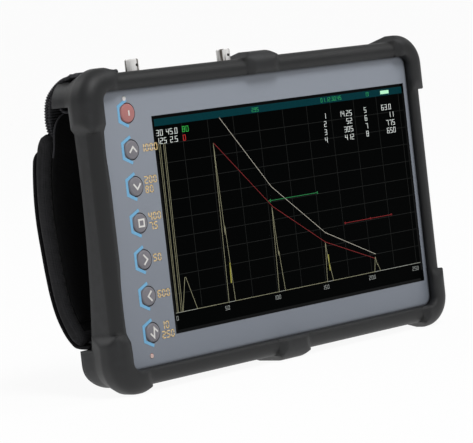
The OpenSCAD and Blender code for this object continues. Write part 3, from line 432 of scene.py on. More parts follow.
def thick_line(points, width):
    """One closed outline round a polyline, mitred at its corners."""
    left, right = [], []
    for i, (x, z) in enumerate(points):
        before = Vector((x, z)) - Vector(points[max(i - 1, 0)])
        after = Vector(points[min(i + 1, len(points) - 1)]) - Vector((x, z))
        a = before.normalized() if before.length else after.normalized()
        b = after.normalized() if after.length else before.normalized()
        along = (a + b).normalized()
        half = width / 2 / max(MITRE_LEAST, along.dot(a))
        left.append((x - along.y * half, z + along.x * half))
        right.append((x + along.y * half, z - along.x * half))
    return left + right[::-1]


def inlay(name, outlines, face, thick, material, body=BODY):
    """Thin closed plates on a plane that looks along -Y, one per outline of x and z pairs."""
    points, faces = [], []
    for outline in outlines:
        n, first = len(outline), len(points)
        points += [(x, face, z) for x, z in outline] + [(x, face + thick, z) for x, z in outline]
        faces.append(tuple(first + i for i in range(n)))
        faces.append(tuple(first + n + i for i in range(n - 1, -1, -1)))
        faces += [(first + i, first + (i + 1) % n, first + n + (i + 1) % n, first + n + i) for i in range(n)]
    new_piece(name, (points, faces), material, body, smooth=False)


# Each sign is a line through points across and up from the key's middle, measured in arms.
SIGN_ARM, SIGN_LINE, SIGN_LIFT, SIGN_DEEP = 1.75 * MM, 0.7 * MM, 0.03 * MM, 0.3 * MM
SIGNS = {
    "power_key": [(0, -0.62), (0, 0.62)],
    "up_key": [(-1.1, -0.6), (0, 0.65), (1.1, -0.6)],
    "down_key": [(-1.1, 0.6), (0, -0.65), (1.1, 0.6)],
    "select_key": [(0, -0.78), (0.78, -0.78), (0.78, 0.78), (-0.78, 0.78), (-0.78, -0.78), (0, -0.78)],
    "right_key": [(-0.6, 1.15), (0.55, 0), (-0.6, -1.15)],
    "left_key": [(0.6, 1.15), (-0.55, 0), (0.6, -1.15)],
    "step_key": [(-1.15, -0.1), (-0.1, -1.1), (0.1, 1.1), (1.15, 0.1)],
}


def key_cap(node):
    """A crowned cap inside its node's outline, and the sign printed on it."""
    low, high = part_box(node)
    centre, front = (low + high) / 2, low.y
    body = node + "_body"
    inner, under = KEY_RADIUS - KEY_RIM, front + KEY_TALL
    quarter = [math.pi / 2 * k / RIM_STEPS for k in range(RIM_STEPS + 1)]
    crown = [(inner * t, front + KEY_CROWN * t * t) for t in (0.12, 0.35, 0.6, 0.8, 0.93)]
    rim = [(inner + KEY_RIM * math.sin(a), front + KEY_CROWN + KEY_RIM * (1 - math.cos(a))) for a in quarter]
    flange = [(KEY_RADIUS, under), (high.x - centre.x, under), (high.x - centre.x, under + FLANGE_THICK)]
    stem = [(STEM_RADIUS, under + FLANGE_THICK), (STEM_RADIUS, high.y)]
    finish, slot = grey_silicone, "key_silicone"
    if node == "power_key":
        finish, slot = red_silicone, "power_silicone"
    skin = lathe(crown + rim + flange + stem, centre)
    cap = new_piece(node.replace("key", "cap"), skin, finish, body)
    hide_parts(node)
    line = [(centre.x + x * SIGN_ARM, centre.z + z * SIGN_ARM) for x, z in SIGNS[node]]
    inlay(node.replace("key", "sign"), [thick_line(line, SIGN_LINE)], front - SIGN_LIFT,
          SIGN_LIFT + SIGN_DEEP, white_ink, body)


for node in KEY_NODES:
    key_cap(node)

# Lights
# Two light guides beside the first and the last key, moulded in acrylic and pressed into the panel.
# One is milky white and one dull pink, and both scatter what light they take in.
ACRYLIC_CLOUD, SCATTER_DEPTH = 1.0 * MM, 1.0 * MM


def milky_acrylic(name, low, high):
    """Milky acrylic: soft and slightly cloudy, with a smooth face."""
    material, place = new_material(name)
    cloud = add(material, "TexNoise", {"Vector": place, "Scale": 1 / ACRYLIC_CLOUD})
    colour = add(material, "Mix", {"Factor": cloud, "A": low, "B": high}, data_type="RGBA")
    shader = add(material, "BsdfPrincipled", {"Base Color": colour, "Roughness": 0.2,
                                              "Subsurface Weight": 0.2, "Subsurface Scale": SCATTER_DEPTH})
    return finished(material, shader)


finish_nodes(milky_acrylic("milky_white_acrylic", "#C9C8C6", "#E2E1DF"), "status_light")
finish_nodes(milky_acrylic("milky_pink_acrylic", "#CDAFA9", "#D8BCB6"), "charge_light")

# Probe sockets
# Brass barrels with a polished nickel plate, clamped by slim ring nuts.
# Pale and dark streaks of painted reflection run up each barrel, and a dark pit for the plug's catch sits in
# its front and its back.
REFLECTION_STREAK_WIDE = 1.5 * MM
PLATE_METAL = 0.3  # the plate reads pale rather than mirror-like in the photograph
BARREL_RADIUS, PIT_PROUD, PIT_DROP = 2.9 * MM, 0.03 * MM, 2.6 * MM
PIT_RADIUS, PIT_DEEP, PIT_STEPS = 0.6 * MM, 0.35 * MM, 16
# Painted reflections: the near white and the dark streaks in the plate's colour stand in for what the
# polished barrel reflects.
nickel = plated_metal("polished_nickel_painted_reflections", "#5E574F", "#FFFEFC", 0.18, REFLECTION_STREAK_WIDE, (1, 1, 0.06),
                      metal=PLATE_METAL, streaks=(0.42, 0.51))
finish_nodes(nickel, "transmit_socket", "receive_socket", "socket_nuts")
pit_shade = plated_metal("shaded_nickel_pit", "#1B1A19", "#2A2827", 0.5)
for node in ("transmit_socket", "receive_socket"):
    low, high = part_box(node)
    middle = (low + high) / 2
    for side, face in ((-1, "front"), (1, "back")):
        reach = middle.y + side * (BARREL_RADIUS + PIT_PROUD)
        pit = lathe([(PIT_RADIUS, reach), (PIT_RADIUS, reach - side * PIT_DEEP)],
                    Vector((middle.x, 0, high.z - PIT_DROP)), PIT_STEPS)
        new_piece(node.replace("socket", "pit_") + face, pit, pit_shade, smooth=False)

# Panel print
# Ink screen printed on the panel's film: a pale blue half hexagon left of each key, and a tan sign,
# which is a plain number, right of all but the first.
PRINT_THICK = 0.04 * MM
PRINT_FACE = PANEL_LOW.y - PRINT_THICK
BRACKET_FLAT, BRACKET_REACH, BRACKET_TALL = 3.0 * MM, 4.65 * MM, 5.3 * MM
BRACKET_START, BRACKET_LINE = 0.1 * MM, 1.25 * MM
blue_ink = printed("pale_blue_ink", "#6AAAD4", "#80BADE")
tan_ink = printed("tan_ink", "#F2CC86", "#FADBA0")


def key_centre(node):
    low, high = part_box(node)
    return (low + high) / 2


def half_hexagon(centre):
    """The band left of a key: an upright side with two slanting arms."""
    start, end = centre.x + BRACKET_START, centre.x - BRACKET_REACH
    return [(start, centre.z + BRACKET_TALL), (end, centre.z + BRACKET_FLAT),
            (end, centre.z - BRACKET_FLAT), (start, centre.z - BRACKET_TALL)]


brackets = [thick_line(half_hexagon(key_centre(node)), BRACKET_LINE) for node in KEY_NODES]
inlay("key_brackets", brackets, PRINT_FACE, 2 * PRINT_THICK, blue_ink)

# Segments of a plain numeral on a grid one wide and two tall: a is the top bar, g the middle one.
BARS = {"a": ((0, 2), (1, 2)), "b": ((1, 2), (1, 1)), "c": ((1, 1), (1, 0)), "d": ((0, 0), (1, 0)),
        "e": ((0, 1), (0, 0)), "f": ((0, 2), (0, 1)), "g": ((0, 1), (1, 1))}
NUMERALS = {"0": "abcdef", "1": "bc", "2": "abged", "3": "abgcd", "4": "fgbc", "5": "afgcd",
            "6": "afgedc", "7": "abc", "8": "abcdefg", "9": "gfabcd"}
NUMERAL_WIDE, NUMERAL_STEP, POINT_STEP = 0.56, 1.7, 0.55


def stroke(start, end, width):
    """The four corners of a flat bar that runs half its width past both of its ends."""
    (x0, z0), (x1, z1) = start, end
    run = math.hypot(x1 - x0, z1 - z0)
    ux, uz = (x1 - x0) / run * width / 2, (z1 - z0) / run * width / 2
    return [(x0 - ux - uz, z0 - uz + ux), (x0 - ux + uz, z0 - uz - ux),
            (x1 + ux + uz, z1 + uz - ux), (x1 + ux - uz, z1 + uz + ux)]


def number(text, x, z, height, line):
    """Bars of plain numerals that start at x, with their feet at z."""
    quads, wide = [], height * NUMERAL_WIDE
    for sign in text:
        if sign == ".":
            quads.append(stroke((x, z), (x + line, z), line))
            x += wide * POINT_STEP
            continue
        for start, end in (BARS[letter] for letter in NUMERALS[sign]):
            quads.append(stroke((x + start[0] * wide, z + start[1] * height / 2),
                                (x + end[0] * wide, z + end[1] * height / 2), line))
        x += wide * NUMERAL_STEP
    return quads


KEY_NUMBERS = [["1000"], ["200", "80"], ["400", "75"], ["50"], ["600"], ["10", "250"]]
NUMBER_OUT, NUMBER_HEIGHT, NUMBER_LINE = 5.4 * MM, 2.6 * MM, 0.42 * MM
NUMBER_DROP, HALF_ROW = 1.2 * MM, 1.9 * MM
key_numbers = []
for node, rows in zip(KEY_NODES[1:], KEY_NUMBERS):
    place = key_centre(node)
    for k, text in enumerate(rows):
        foot = place.z - NUMBER_DROP + (len(rows) - 1 - 2 * k) * HALF_ROW
        key_numbers += number(text, place.x + NUMBER_OUT, foot, NUMBER_HEIGHT, NUMBER_LINE)
inlay("key_numbers", key_numbers, PRINT_FACE, 2 * PRINT_THICK, tan_ink)

# Picture on the display
# What a backlit panel shows: a dark ground, a teal bar, a net of grid lines, an echo trace with four
# peaks, two fading curves, two gate bars and plain readouts. It glows a little.
PICTURE_FACE, PICTURE_THICK = GLASS_FACE - 0.02 * MM, 0.015 * MM
PIXEL_CLOUD = 0.9 * MM


def pixels(tint, low, high, glow):
    """Lit picture elements: a slightly uneven colour that gives off its own light."""
    material, place = new_material("lit_" + tint + "_pixels")
    cloud = add(material, "TexNoise", {"Vector": place, "Scale": 1 / PIXEL_CLOUD})
    colour = add(material, "Mix", {"Factor": cloud, "A": low, "B": high}, data_type="RGBA")
    shader = add(material, "BsdfPrincipled", {"Base Color": colour, "Roughness": 0.3,
                                              "Specular IOR Level": 0.01, "Emission Color": colour,
                                              "Emission Strength": glow})
    return finished(material, shader)


def on_screen(points):
    """Places in the picture, millimetres across and up from its middle, as x and z in the frame."""
    return [(SCREEN_MID.x + x * MM, SCREEN_MID.z + z * MM) for x, z in points]


def drawn(points, width):
    """A line through places in the picture."""
    return thick_line(on_screen(points), width * MM)


def bar(x0, z0, x1, z1):
    """An upright rectangle from its lower left to its upper right corner."""
    return on_screen([(x0, z0), (x1, z0), (x1, z1), (x0, z1)])


def picture(name, outlines, material, layer=1):
    """Plates of the picture: each layer stands one plate prouder than the one below."""
    step = PICTURE_THICK * layer
    inlay(name, outlines, PICTURE_FACE - step, step, material)


SCREEN_WIDE, SCREEN_TALL = 154.08, 85.92
EDGE, TOP = SCREEN_WIDE / 2, SCREEN_TALL / 2
FOOT, BAR_FOOT = -36.0, 40.0
teal_pixels = pixels("teal", "#05292E", "#063036", 0.35)
picture("screen_ground", [bar(-EDGE, -TOP, EDGE, TOP)], pixels("black", "#010202", "#020303", 0.0))
picture("screen_top_bar", [bar(-EDGE, BAR_FOOT, EDGE, TOP)], teal_pixels, 2)

GRID_PITCH_X, GRID_PITCH_Z, GRID_HALF, BASE_HALF = 15.15, 7.6, 0.1, 0.09
rows = [FOOT + GRID_PITCH_Z * k for k in range(1, 10)]
columns = [-EDGE + GRID_PITCH_X * k for k in range(1, 11)]
grid = [bar(-EDGE, z - GRID_HALF, EDGE, z + GRID_HALF) for z in rows]
grid += [bar(x - GRID_HALF, FOOT, x + GRID_HALF, BAR_FOOT) for x in columns]
picture("screen_grid", grid, pixels("grid", "#1B1C1B", "#242524", 0.3), 3)
picture("screen_base_line", [bar(-EDGE, FOOT - BASE_HALF, EDGE, FOOT + BASE_HALF)],
        pixels("grey", "#8A8C84", "#989A92", 0.4), 4)

# The trace: a low flat topped start, then four echoes, each with a small shoulder on its falling side.
# The burst lines at the left edge run from top to foot and lean a little.
TRACE_LINE, BURST_LINE, BURST_TOP = 0.17, 0.15, 32.8
START_ECHO = [(-73.0, FOOT), (-69.9, -22.4), (-69.3, -22.4), (-64.6, FOOT)]
PEAKS = [(-44.8, 30.0), (-14.3, 0.0), (16.2, -19.0), (47.3, -29.5)]
ECHO_SHAPE = [(-1.3, 0.0), (0.0, 1.0), (0.9, 0.42), (1.2, 0.48), (2.6, 0.0)]
BURST = [(-75.9, -76.3), (-75.0, -75.7), (-73.2, -74.1), (-72.4, -73.2)]
BRIGHT_ECHOES = [([(-43.0, -20.0), (-43.5, -28.3)], 0.6), ([(17.2, -24.5), (17.4, -31.5)], 0.5)]
trace_points = START_ECHO + [(x + along, FOOT + (z - FOOT) * share) for x, z in PEAKS
                             for along, share in ECHO_SHAPE]
trace = [drawn(pair, TRACE_LINE) for pair in zip(trace_points, trace_points[1:])]
trace += [drawn([(top, BURST_TOP), (foot, FOOT)], BURST_LINE) for top, foot in BURST]
echoes = [drawn(ends, width) for ends, width in BRIGHT_ECHOES]
picture("screen_trace", trace, pixels("yellow", "#807E66", "#908E74", 0.35), 6)
picture("screen_echoes", echoes, pixels("green_yellow", "#868238", "#949046", 0.3), 6)

CURVE_LINE = 0.2
LOWER_CURVE = [(-44.6, 30.0), (-13.8, 0.0), (16.4, -19.0), (47.5, -30.3)]
UPPER_CURVE = [(-39.6, 40.0), (-13.2, 8.3), (17.0, -15.0), (47.9, -28.4)]
# A gate is a thin bar with short marks across it: lower left and upper right corners.
GREEN_GATE = [(-16.0, 2.45, 14.8, 2.7), (-15.0, 1.9, -14.5, 3.2), (14.5, 2.1, 15.0, 3.1)]
RED_GATE = [(30, -12.65, 61.2, -12.4), (29.9, -12.9, 30.7, -12.1), (46.6, -12.9, 47.4, -12.1),
            (60.6, -12.9, 61.4, -12.1)]
picture("screen_lower_curve", [drawn(LOWER_CURVE, CURVE_LINE)],
        pixels("red", "#74282A", "#843232", 0.3), 5)
picture("screen_upper_curve", [drawn(UPPER_CURVE, CURVE_LINE)],
        pixels("cream", "#9B978B", "#A9A599", 0.4), 5)
picture("screen_green_gate", [bar(*corners) for corners in GREEN_GATE],
        pixels("green", "#256C3C", "#2F7848", 0.35), 5)
picture("screen_red_gate", [bar(*corners) for corners in RED_GATE],
        pixels("gate_red", "#6E2224", "#7E2C2E", 0.3), 5)

READOUTS = [("30", -76.4, 36.1), ("45.0", -70.8, 36.1), ("125", -76.8, 32.8), ("2.5", -69.0, 32.8),
            ("1", 24.1, 33.5), ("14.25", 34.0, 33.4), ("2", 24.0, 30.1), ("52", 38.6, 30.0),
            ("3", 23.8, 26.6), ("305", 36.6, 26.5), ("4", 23.6, 23.2), ("412", 36.6, 23.0),
            ("5", 50.7, 33.7), ("63.0", 62.4, 33.7), ("6", 50.7, 30.2), ("11", 66.4, 30.2),
            ("7", 50.7, 26.7), ("775", 64.6, 26.7), ("8", 50.7, 23.3), ("650", 64.6, 23.3)]
AXIS_FOOT = -39.0
AXIS = [("0", -77), ("50", -48.6), ("100", -19.0), ("150", 11.6), ("200", 42.0), ("250", 71.4)]
TOP_BAR_NUMBERS = [("295", -19.8, 40.55), ("01.12.30.45", 23.4, 40.75), ("19", 52.2, 40.75)]


def readout(name, entries, material, height=2.2, line=0.15):
    """Plain numbers in the picture: each entry holds the digits and their lower left corner."""
    quads = []
    for text, x, z in entries:
        (left, foot), = on_screen([(x, z)])
        quads += number(text, left, foot, height * MM, line * MM)
    picture(name, quads, material, 6)


readout("screen_readouts", READOUTS, pixels("white", "#C6CAC8", "#D4D8D6", 0.7))
readout("screen_axis", [(text, x, AXIS_FOOT) for text, x in AXIS],
        pixels("dim_white", "#8E928F", "#9C9F9C", 0.4), 1.6, 0.13)
readout("screen_green_numbers", [("80", -61.6, 36.3)],
        pixels("bright_green", "#34B04A", "#44C05A", 0.4))
readout("screen_red_number", [("0", -61.6, 32.8)],
        pixels("bright_red", "#C03230", "#D03E3C", 0.4))
readout("screen_bar_numbers", TOP_BAR_NUMBERS,
        pixels("mid_green", "#2C9456", "#36A262", 0.4), 1.6, 0.15)
picture("screen_battery_mark", [bar(62.6, 40.7, 68.2, 42.2)],
        pixels("pale_green", "#9BD8B0", "#AEE2BE", 0.4), 6)

# Hand strap webbing
# Woven polypropylene webbing with cross ribs, led through the lug, round its bar and back on itself.
# The ribs are spaced as the photograph shows them, and the two selvedges are a little thinner.
WEB_LEFT, WEB_WIDTH, WEB_THICK, OUTER_THICK = -95 * MM, 26 * MM, 1.7 * MM, 2.3 * MM
RIB_PITCH, RIB_OUT, RIB_SWELL, RIB_STEPS = 1.15 * MM, 0.3 * MM, 0.14, 5
# Across a band or the pad: a place across it, and the share of its thickness there.
WEB_ACROSS = [(0.0, 0.45), (0.02, 0.8), (0.08, 0.72), (0.14, 1.0), (0.5, 1.0), (0.86, 1.0), (0.92, 0.72),
              (0.98, 0.8), (1.0, 0.45)]
YARN_SIZE, YARN_GRAIN, YARN_RELIEF = 0.7 * MM, 0.5 * MM, 0.1 * MM
STRAP_STAND, FULL_H = 28.5 * MM, 130.7 * MM
FINE_STEPS = 20


def route(shares):
    """Depth and height points from shares of the strap stand and the full height."""
    return [Vector((0, y * STRAP_STAND, z * FULL_H)) for y, z in shares]


def smooth_route(points, step):
    """Points a step apart along a smooth curve through the given ones."""
    fine = []
    last = len(points) - 1
    for i in range(last):
        a, b, c, d = points[max(i - 1, 0)], points[i], points[i + 1], points[min(i + 2, last)]
        for k in range(FINE_STEPS):
            t = k / FINE_STEPS
            fine.append((2 * b + (c - a) * t + (2 * a - 5 * b + 4 * c - d) * t ** 2
                         + (3 * b - a - 3 * c + d) * t ** 3) / 2)
    fine.append(points[last])
    total = [0.0]
    for p, q in zip(fine, fine[1:]):
        total.append(total[-1] + (q - p).length)
    count = max(2, round(total[-1] / step))
    out, j = [], 0
    for k in range(count + 1):
        want = total[-1] * k / count
        while j < len(total) - 2 and total[j + 1] < want:
            j += 1
        out.append(fine[j].lerp(fine[j + 1], (want - total[j]) / (total[j + 1] - total[j])))
    return out


def normal_at(points, i):
    """Direction across the route in the side plane."""
    along = points[min(i + 1, len(points) - 1)] - points[max(i - 1, 0)]
    return Vector((0, -along.z, along.y)).normalized()


def band_ring(p, n, across):
    """A closed ring about a point of a route: places across, each with its share of the thickness."""
    outer = [Vector((x, p.y, p.z)) + n * share for x, share in across]
    return outer + [Vector((x, p.y, p.z)) - n * share for x, share in reversed(across)]


def ribbed(name, shaded_hollow, lit_crest):
    """Coarse webbing yarn: painted shade in the hollows between the ribs and a painted highlight where a rib
    stands up.
    """
    material, place = new_material(name)
    bend = add(material, "NewGeometry").outputs["Pointiness"]
    height = add(material, "MapRange", {"Value": bend, "From Min": 0.47, "From Max": 0.54})
    patch = add(material, "TexNoise", {"Vector": place, "Scale": 1 / YARN_SIZE, "Detail": 3.0})
    lit = add(material, "Math", {0: height, 1: patch}, operation="MULTIPLY")
    # Painted light and shade: rib crests painted paler, the hollows between them darker.
    colour = add(material, "Mix", {"Factor": lit, "A": shaded_hollow, "B": lit_crest}, data_type="RGBA")
    grain = add(material, "TexNoise", {"Vector": place, "Scale": 1 / YARN_GRAIN})
    bump = add(material, "Bump", {"Height": grain, "Strength": 0.6, "Distance": YARN_RELIEF})
    shader = add(material, "BsdfPrincipled", {"Base Color": colour, "Roughness": 0.8,
                                              "Specular IOR Level": 0.15, "Normal": bump})
    return finished(material, shader)


# Near black painted shade in the rib hollows and grey painted highlight on the crests.
black_webbing = ribbed("black_polypropylene_webbing", "#09090A", "#545458")


def webbing(name, shares, node, thick=WEB_THICK):
    """A ribbed band: it swells in thickness and width at each rib, and its edges are rounded."""
    points = smooth_route(route(shares), RIB_PITCH / RIB_STEPS)
    rings = []
    for i, p in enumerate(points):
        swell = math.sin(2 * math.pi * i / RIB_STEPS)
        n = normal_at(points, i) * thick / 2 * (1 - RIB_SWELL + RIB_SWELL * swell)
        left, wide = WEB_LEFT - RIB_OUT * swell, WEB_WIDTH + 2 * RIB_OUT * swell
        rings.append(band_ring(p, n, [(left + wide * u, share) for u, share in WEB_ACROSS]))
    piece = new_piece(name, loft(rings), black_webbing)
    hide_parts(node)


TURN_ROUTE = [(0.147, 0.888), (0.147, 0.933), (0.156, 0.954), (0.2, 0.9625), (0.28, 0.9635), (0.36, 0.9595)]
UPPER_ROUTE = [(0.125, 0.9855), (0.155, 0.983), (0.2105, 0.9785), (0.298, 0.9755), (0.421, 0.965),
               (0.547, 0.948), (0.66, 0.926), (0.723, 0.897), (0.747, 0.86), (0.737, 0.832), (0.7, 0.808),
               (0.668, 0.787)]
UNDER_ROUTE = [(0.147, 0.898), (0.158, 0.8845), (0.2175, 0.8783), (0.337, 0.8783), (0.4105, 0.8875),
               (0.421, 0.9105), (0.4386, 0.9288), (0.505, 0.9357), (0.6105, 0.9174), (0.66, 0.892),
               (0.684, 0.8585), (0.674, 0.83), (0.645, 0.806)]
LOWER_ROUTE = [(0.45, 0.173), (0.4105, 0.168), (0.3228, 0.165), (0.215, 0.1625), (0.158, 0.152),
               (0.1474, 0.1262), (0.1474, 0.0941)]
webbing("upper_webbing_turned_layer", TURN_ROUTE, "upper_webbing")
webbing("upper_webbing_outer_layer", UPPER_ROUTE, "upper_webbing", OUTER_THICK)
webbing("upper_webbing_inner_layer", UNDER_ROUTE, "upper_webbing")
webbing("lower_webbing_layer", LOWER_ROUTE, "lower_webbing")

# Padded strap
# A foam cushion in black woven nylon, bowed outward behind the case, its edge bound with dark grey
# tape that is sewn round with one row of stitches.
PAD_LEFT, PAD_WIDTH, PAD_THICK, PAD_EDGE = -99 * MM, 36 * MM, 6.4 * MM, 5.2 * MM
PAD_STEP, TAPER_SHARE, END_THICK, END_WIDE, WAIST = 1.5 * MM, 1 / 14, 0.3, 0.8, 0.02
TUCK_DEEP, TUCKS_ALONG, TUCKS_ACROSS, TUCK_SLANT = 0.18 * MM, 60, 7, 21
PAD_ROUTE = [(0.7123, 0.811), (0.7509, 0.785), (0.793, 0.7544), (0.8351, 0.7192), (0.8737, 0.6695),
             (0.9018, 0.6083), (0.9053, 0.5394), (0.8772, 0.4591), (0.8421, 0.3826), (0.7965, 0.3175),
             (0.7228, 0.2617), (0.6105, 0.2145), (0.505, 0.184), (0.405, 0.166)]
PAD_ACROSS = [(-1, 0.25), (-0.985, 0.62), (-0.95, 0.85), (-0.88, 0.97), (-0.8, 0.9), (-0.74, 1.0),
              (-0.5, 1.0), (-0.2, 1.0), (0.2, 1.0), (0.5, 1.0), (0.74, 1.0), (0.8, 0.9), (0.88, 0.97),
              (0.95, 0.85), (0.985, 0.62), (1, 0.25)]
WEAVE_RELIEF, FUZZ_SIZE = 0.15 * MM, 3 * MM
WAVE_REPEAT = 0.3  # a wave texture of scale one repeats about every 0.3 m


def woven(name, low, high, pitch):
    """Woven yarn: crossing threads in tone and relief, a pitch apart, and next to no sheen."""
    material, place = new_material(name)
    wave = {"Vector": place, "Scale": WAVE_REPEAT / pitch, "Distortion": 0.6, "Detail": 1.0}
    across = add(material, "TexWave", wave, bands_direction="X").outputs["Fac"]
    along = add(material, "TexWave", wave, bands_direction="Z").outputs["Fac"]
    weave = add(material, "Math", {0: across, 1: along}, operation="MULTIPLY")
    fuzz = add(material, "TexNoise", {"Vector": place, "Scale": 1 / FUZZ_SIZE, "Detail": 3.0})
    tone = add(material, "Math", {0: weave, 1: fuzz}, operation="ADD")
    colour = add(material, "Mix", {"Factor": tone, "A": low, "B": high}, data_type="RGBA")
    bump = add(material, "Bump", {"Height": weave, "Strength": 0.7, "Distance": WEAVE_RELIEF})
    shader = add(material, "BsdfPrincipled", {"Base Color": colour, "Roughness": 0.85,
                                              "Specular IOR Level": 0.1, "Sheen Weight": 0.04,
                                              "Sheen Roughness": 0.5, "Normal": bump})
    return finished(material, shader)


black_nylon = woven("black_woven_nylon", "#0B0B0C", "#19191A", 0.7 * MM)
grey_tape = woven("grey_binding_tape", "#121213", "#2C2C2E", 0.6 * MM)


def pad_place(points, i, u, share, side):
    """A point of the pad's skin: u from -1 to 1 across it, side 1 outside and -1 on the hand side."""
    s = i / (len(points) - 1)
    end = min(1.0, min(s, 1 - s) / TAPER_SHARE)
    full = END_THICK + (1 - END_THICK) * math.sqrt(1 - (1 - end) ** 2)
    half = PAD_WIDTH / 2 * (END_WIDE + (1 - END_WIDE) * full) * (1 - WAIST * math.sin(math.pi * s))
    crown = (PAD_THICK - PAD_EDGE) * (1 - u * u) if side > 0 else 0.0
    tuck = TUCK_DEEP * math.sin(s * TUCKS_ALONG) * math.sin(u * TUCKS_ACROSS + s * TUCK_SLANT)
    deep = full * share * (PAD_EDGE / 2 + crown) + tuck * (1 - abs(u))
    x = PAD_LEFT + PAD_WIDTH / 2 + half * u
    return Vector((x, points[i].y, points[i].z)) + normal_at(points, i) * side * deep


pad_line = smooth_route(route(PAD_ROUTE), PAD_STEP)
pad_rings = [[pad_place(pad_line, i, u, h, 1) for u, h in PAD_ACROSS]
             + [pad_place(pad_line, i, u, h, -1) for u, h in reversed(PAD_ACROSS)]
             for i in range(len(pad_line))]
pad = new_piece("padded_strap", loft(pad_rings), black_nylon)
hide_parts("strap_pad")

# The binding covers the outer tenth of the width on both faces, and both ends.
TAPE_THICK = 0.45 * MM
EDGE_CELLS = {0, 1, 2, 3, 11, 12, 13, 14}
END_RINGS = 3


def on_tape(i, k):
    """Whether the cell after ring i and ring point k lies under the binding."""
    half = len(PAD_ACROSS)
    place = k if k < half else 2 * half - 2 - k
    at_edge = k in (half - 1, 2 * half - 1) or place in EDGE_CELLS
    return at_edge or i < END_RINGS or i >= len(pad_line) - 1 - END_RINGS


def skin_part(name, rings, keep, thick, material):
    """Part of a lofted skin, taken where keep(ring, place) is true and thickened outward."""
    m = len(rings[0])
    used, points, faces = {}, [], []

    def corner(i, k):
        if (i, k) not in used:
            used[i, k] = len(points)
            points.append(tuple(rings[i][k]))
        return used[i, k]

    for i in range(len(rings) - 1):
        for k in range(m):
            if keep(i, k):
                after = (k + 1) % m
                faces.append((corner(i, k), corner(i, after), corner(i + 1, after), corner(i + 1, k)))
    piece = new_piece(name, (points, faces), material)
    solid = piece.modifiers.new("thickness", "SOLIDIFY")
    solid.thickness, solid.offset = thick, 1


skin_part("strap_binding", pad_rings, on_tape, TAPE_THICK, grey_tape)

# Stitches of the binding
# Dark grey nylon thread in one row of lock stitches, a few millimetres in from the bound edge.
# The same row runs on both faces of the pad.
STITCH_LONG, STITCH_WIDE, STITCH_STEP = 2.2 * MM, 0.45 * MM, 3.2 * MM
STITCH_DIVE, STITCH_RISE, STITCH_AT, STITCH_SEAT = 0.5 * MM, 0.55, 0.83, 0.97
thread = woven("grey_nylon_thread", "#161617", "#222223", 0.4 * MM)


def stitch(start, end, out):
    """One stitch: a slim four sided bead that dives into the cloth at both ends."""
    along = (end - start).normalized()
    side = along.cross(out).normalized() * STITCH_WIDE / 2
    rise = out * STITCH_WIDE * STITCH_RISE
    belt = (side, rise, -side, -rise)
    points = [start] + [start + along * STITCH_DIVE + v for v in belt]
    points += [end - along * STITCH_DIVE + v for v in belt] + [end]
    faces = [(0, 1 + (k + 1) % 4, 1 + k) for k in range(4)]
    faces += [(1 + k, 1 + (k + 1) % 4, 5 + (k + 1) % 4, 5 + k) for k in range(4)]
    faces += [(5 + k, 5 + (k + 1) % 4, 9) for k in range(4)]
    return [tuple(point) for point in points], faces


def stitch_row(name, line, outs):
    """Stitches along a line of points, lifted along their own outward directions."""
    points, faces = [], []
    travelled, due = 0.0, 0.0
    for p, q, out in zip(line, line[1:], outs):
        travelled += (q - p).length
        if travelled >= due:
            along = (q - p).normalized()
            made, sides = stitch(p, p + along * STITCH_LONG, out)
            faces += [tuple(len(points) + k for k in face) for face in sides]
            points += made
            due = travelled + STITCH_STEP
    new_piece(name, (points, faces), thread)


for side, face in ((1, "outer"), (-1, "inner")):
    for u, edge in ((-STITCH_AT, "left"), (STITCH_AT, "right")):
        span = range(END_RINGS + 1, len(pad_line) - END_RINGS - 1)
        outs = [normal_at(pad_line, i) * side for i in span]
        line = [pad_place(pad_line, i, u, STITCH_SEAT, side) + out * TAPE_THICK for i, out in zip(span, outs)]
        stitch_row("strap_stitches_" + face + "_" + edge, line, outs)

# Strap liner
# A strip of brushed knit on the hand side of the pad; its rounded upper end stands up in front of the
# webbing and is piped with grey cord sewn into the edge.
LINER_LEFT, LINER_WIDTH, LINER_THICK, LINER_ROUND = -95 * MM, 26 * MM, 1.0 * MM, 9 * MM
LINER_STEP, LINER_TIP, LINER_CELLS = 1.5 * MM, 0.25 * MM, 12
LINER_ACROSS = [(k / LINER_CELLS, 1.0) for k in range(LINER_CELLS + 1)]
LINER_ROUTE = [(0.5614, 0.878), (0.5807, 0.8531), (0.5947, 0.8263), (0.6337, 0.777), (0.6749, 0.747),
               (0.715, 0.7136), (0.752, 0.6659), (0.7791, 0.6067), (0.7825, 0.5404), (0.7549, 0.4615),
               (0.7202, 0.3858), (0.6763, 0.323), (0.6089, 0.2717), (0.5105, 0.2321)]
brushed_knit = woven("black_brushed_knit", "#070708", "#101011", 0.5 * MM)
grey_piping = woven("grey_sewn_piping", "#303033", "#48484B", 0.5 * MM)
liner_line = smooth_route(route(LINER_ROUTE), LINER_STEP)


def round_ended(line, across, left, width, thick, radius, tip, step):
    """Rings of a flat band along a line, with the corners of its first end rounded."""
    rings = []
    for i, p in enumerate(line):
        inset = radius - math.sqrt(radius ** 2 - max(0.0, radius - tip - i * step) ** 2)
        places = [(left + inset + (width - 2 * inset) * u, share) for u, share in across]
        rings.append(band_ring(p, normal_at(line, i) * thick / 2, places))
    return rings


liner_rings = round_ended(liner_line, LINER_ACROSS, LINER_LEFT, LINER_WIDTH, LINER_THICK, LINER_ROUND,
                          LINER_TIP, LINER_STEP)
liner = new_piece("strap_liner_strip", loft(liner_rings), brushed_knit)
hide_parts("strap_liner")

PIPED_RINGS, PIPING_RADIUS = 13, 0.45 * MM


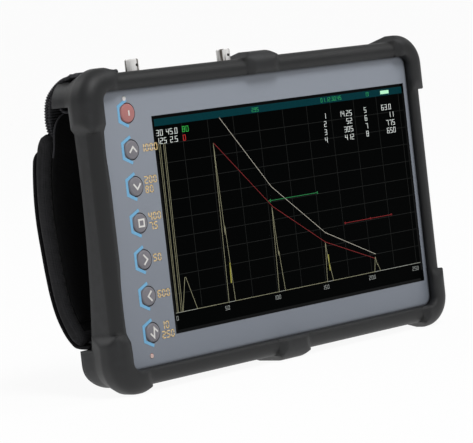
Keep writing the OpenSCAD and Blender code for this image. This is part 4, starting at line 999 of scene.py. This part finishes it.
def piping():
    """A thin sewn cord along the left edge, over the rounded end and down the right edge."""
    rings = liner_rings[:PIPED_RINGS]
    left = [(ring[0] + ring[-1]) / 2 for ring in rings]
    right = [(ring[LINER_CELLS] + ring[LINER_CELLS + 1]) / 2 for ring in rings]
    path = left[::-1] + right
    curve = bpy.data.curves.new("liner_piping", "CURVE")
    curve.dimensions, curve.bevel_depth, curve.bevel_resolution = "3D", PIPING_RADIUS, 2
    curve.use_fill_caps = True
    spline = curve.splines.new("POLY")
    spline.points.add(len(path) - 1)
    for point, place in zip(spline.points, path):
        point.co = (*place, 1)
    piece = bpy.data.objects.new("liner_piping", curve)
    scene.collection.objects.link(piece)
    curve.materials.append(grey_piping)
    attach(piece, BODY)


piping()

# Closure flap
# A band of close woven nylon with a rounded upper end, which hooks onto the outside of the pad.
# Its edges are folded and sewn, so they stand a little prouder than the middle.
FLAP_LEFT, FLAP_WIDTH, FLAP_THICK, FLAP_ROUND = -98 * MM, 32 * MM, 1.4 * MM, 5 * MM
FLAP_STEP, FLAP_TIP = 0.75 * MM, 0.1 * MM
FLAP_ROUTE = [(0.951, 0.7697), (1.0032, 0.727), (1.0442, 0.6745), (1.0733, 0.6104), (1.0772, 0.538),
              (1.0484, 0.4557), (1.0126, 0.3781), (0.9649, 0.3098), (0.8821, 0.2477), (0.7505, 0.1948),
              (0.6056, 0.1615), (0.515, 0.1542), (0.43, 0.1522), (0.35, 0.152), (0.28, 0.152)]
FLAP_ACROSS = [(0.0, 0.35), (0.008, 0.8), (0.03, 1.0), (0.09, 1.0), (0.11, 0.78), (0.3, 0.82), (0.5, 0.84),
               (0.7, 0.82), (0.89, 0.78), (0.91, 1.0), (0.97, 1.0), (0.992, 0.8), (1.0, 0.35)]
close_nylon = woven("black_close_woven_nylon", "#101011", "#1E1E20", 0.5 * MM)
flap_line = smooth_route(route(FLAP_ROUTE), FLAP_STEP)
flap_rings = round_ended(flap_line, FLAP_ACROSS, FLAP_LEFT, FLAP_WIDTH, FLAP_THICK, FLAP_ROUND, FLAP_TIP,
                         FLAP_STEP)
flap = new_piece("closure_flap_band", loft(flap_rings), close_nylon)
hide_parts("closure_flap")
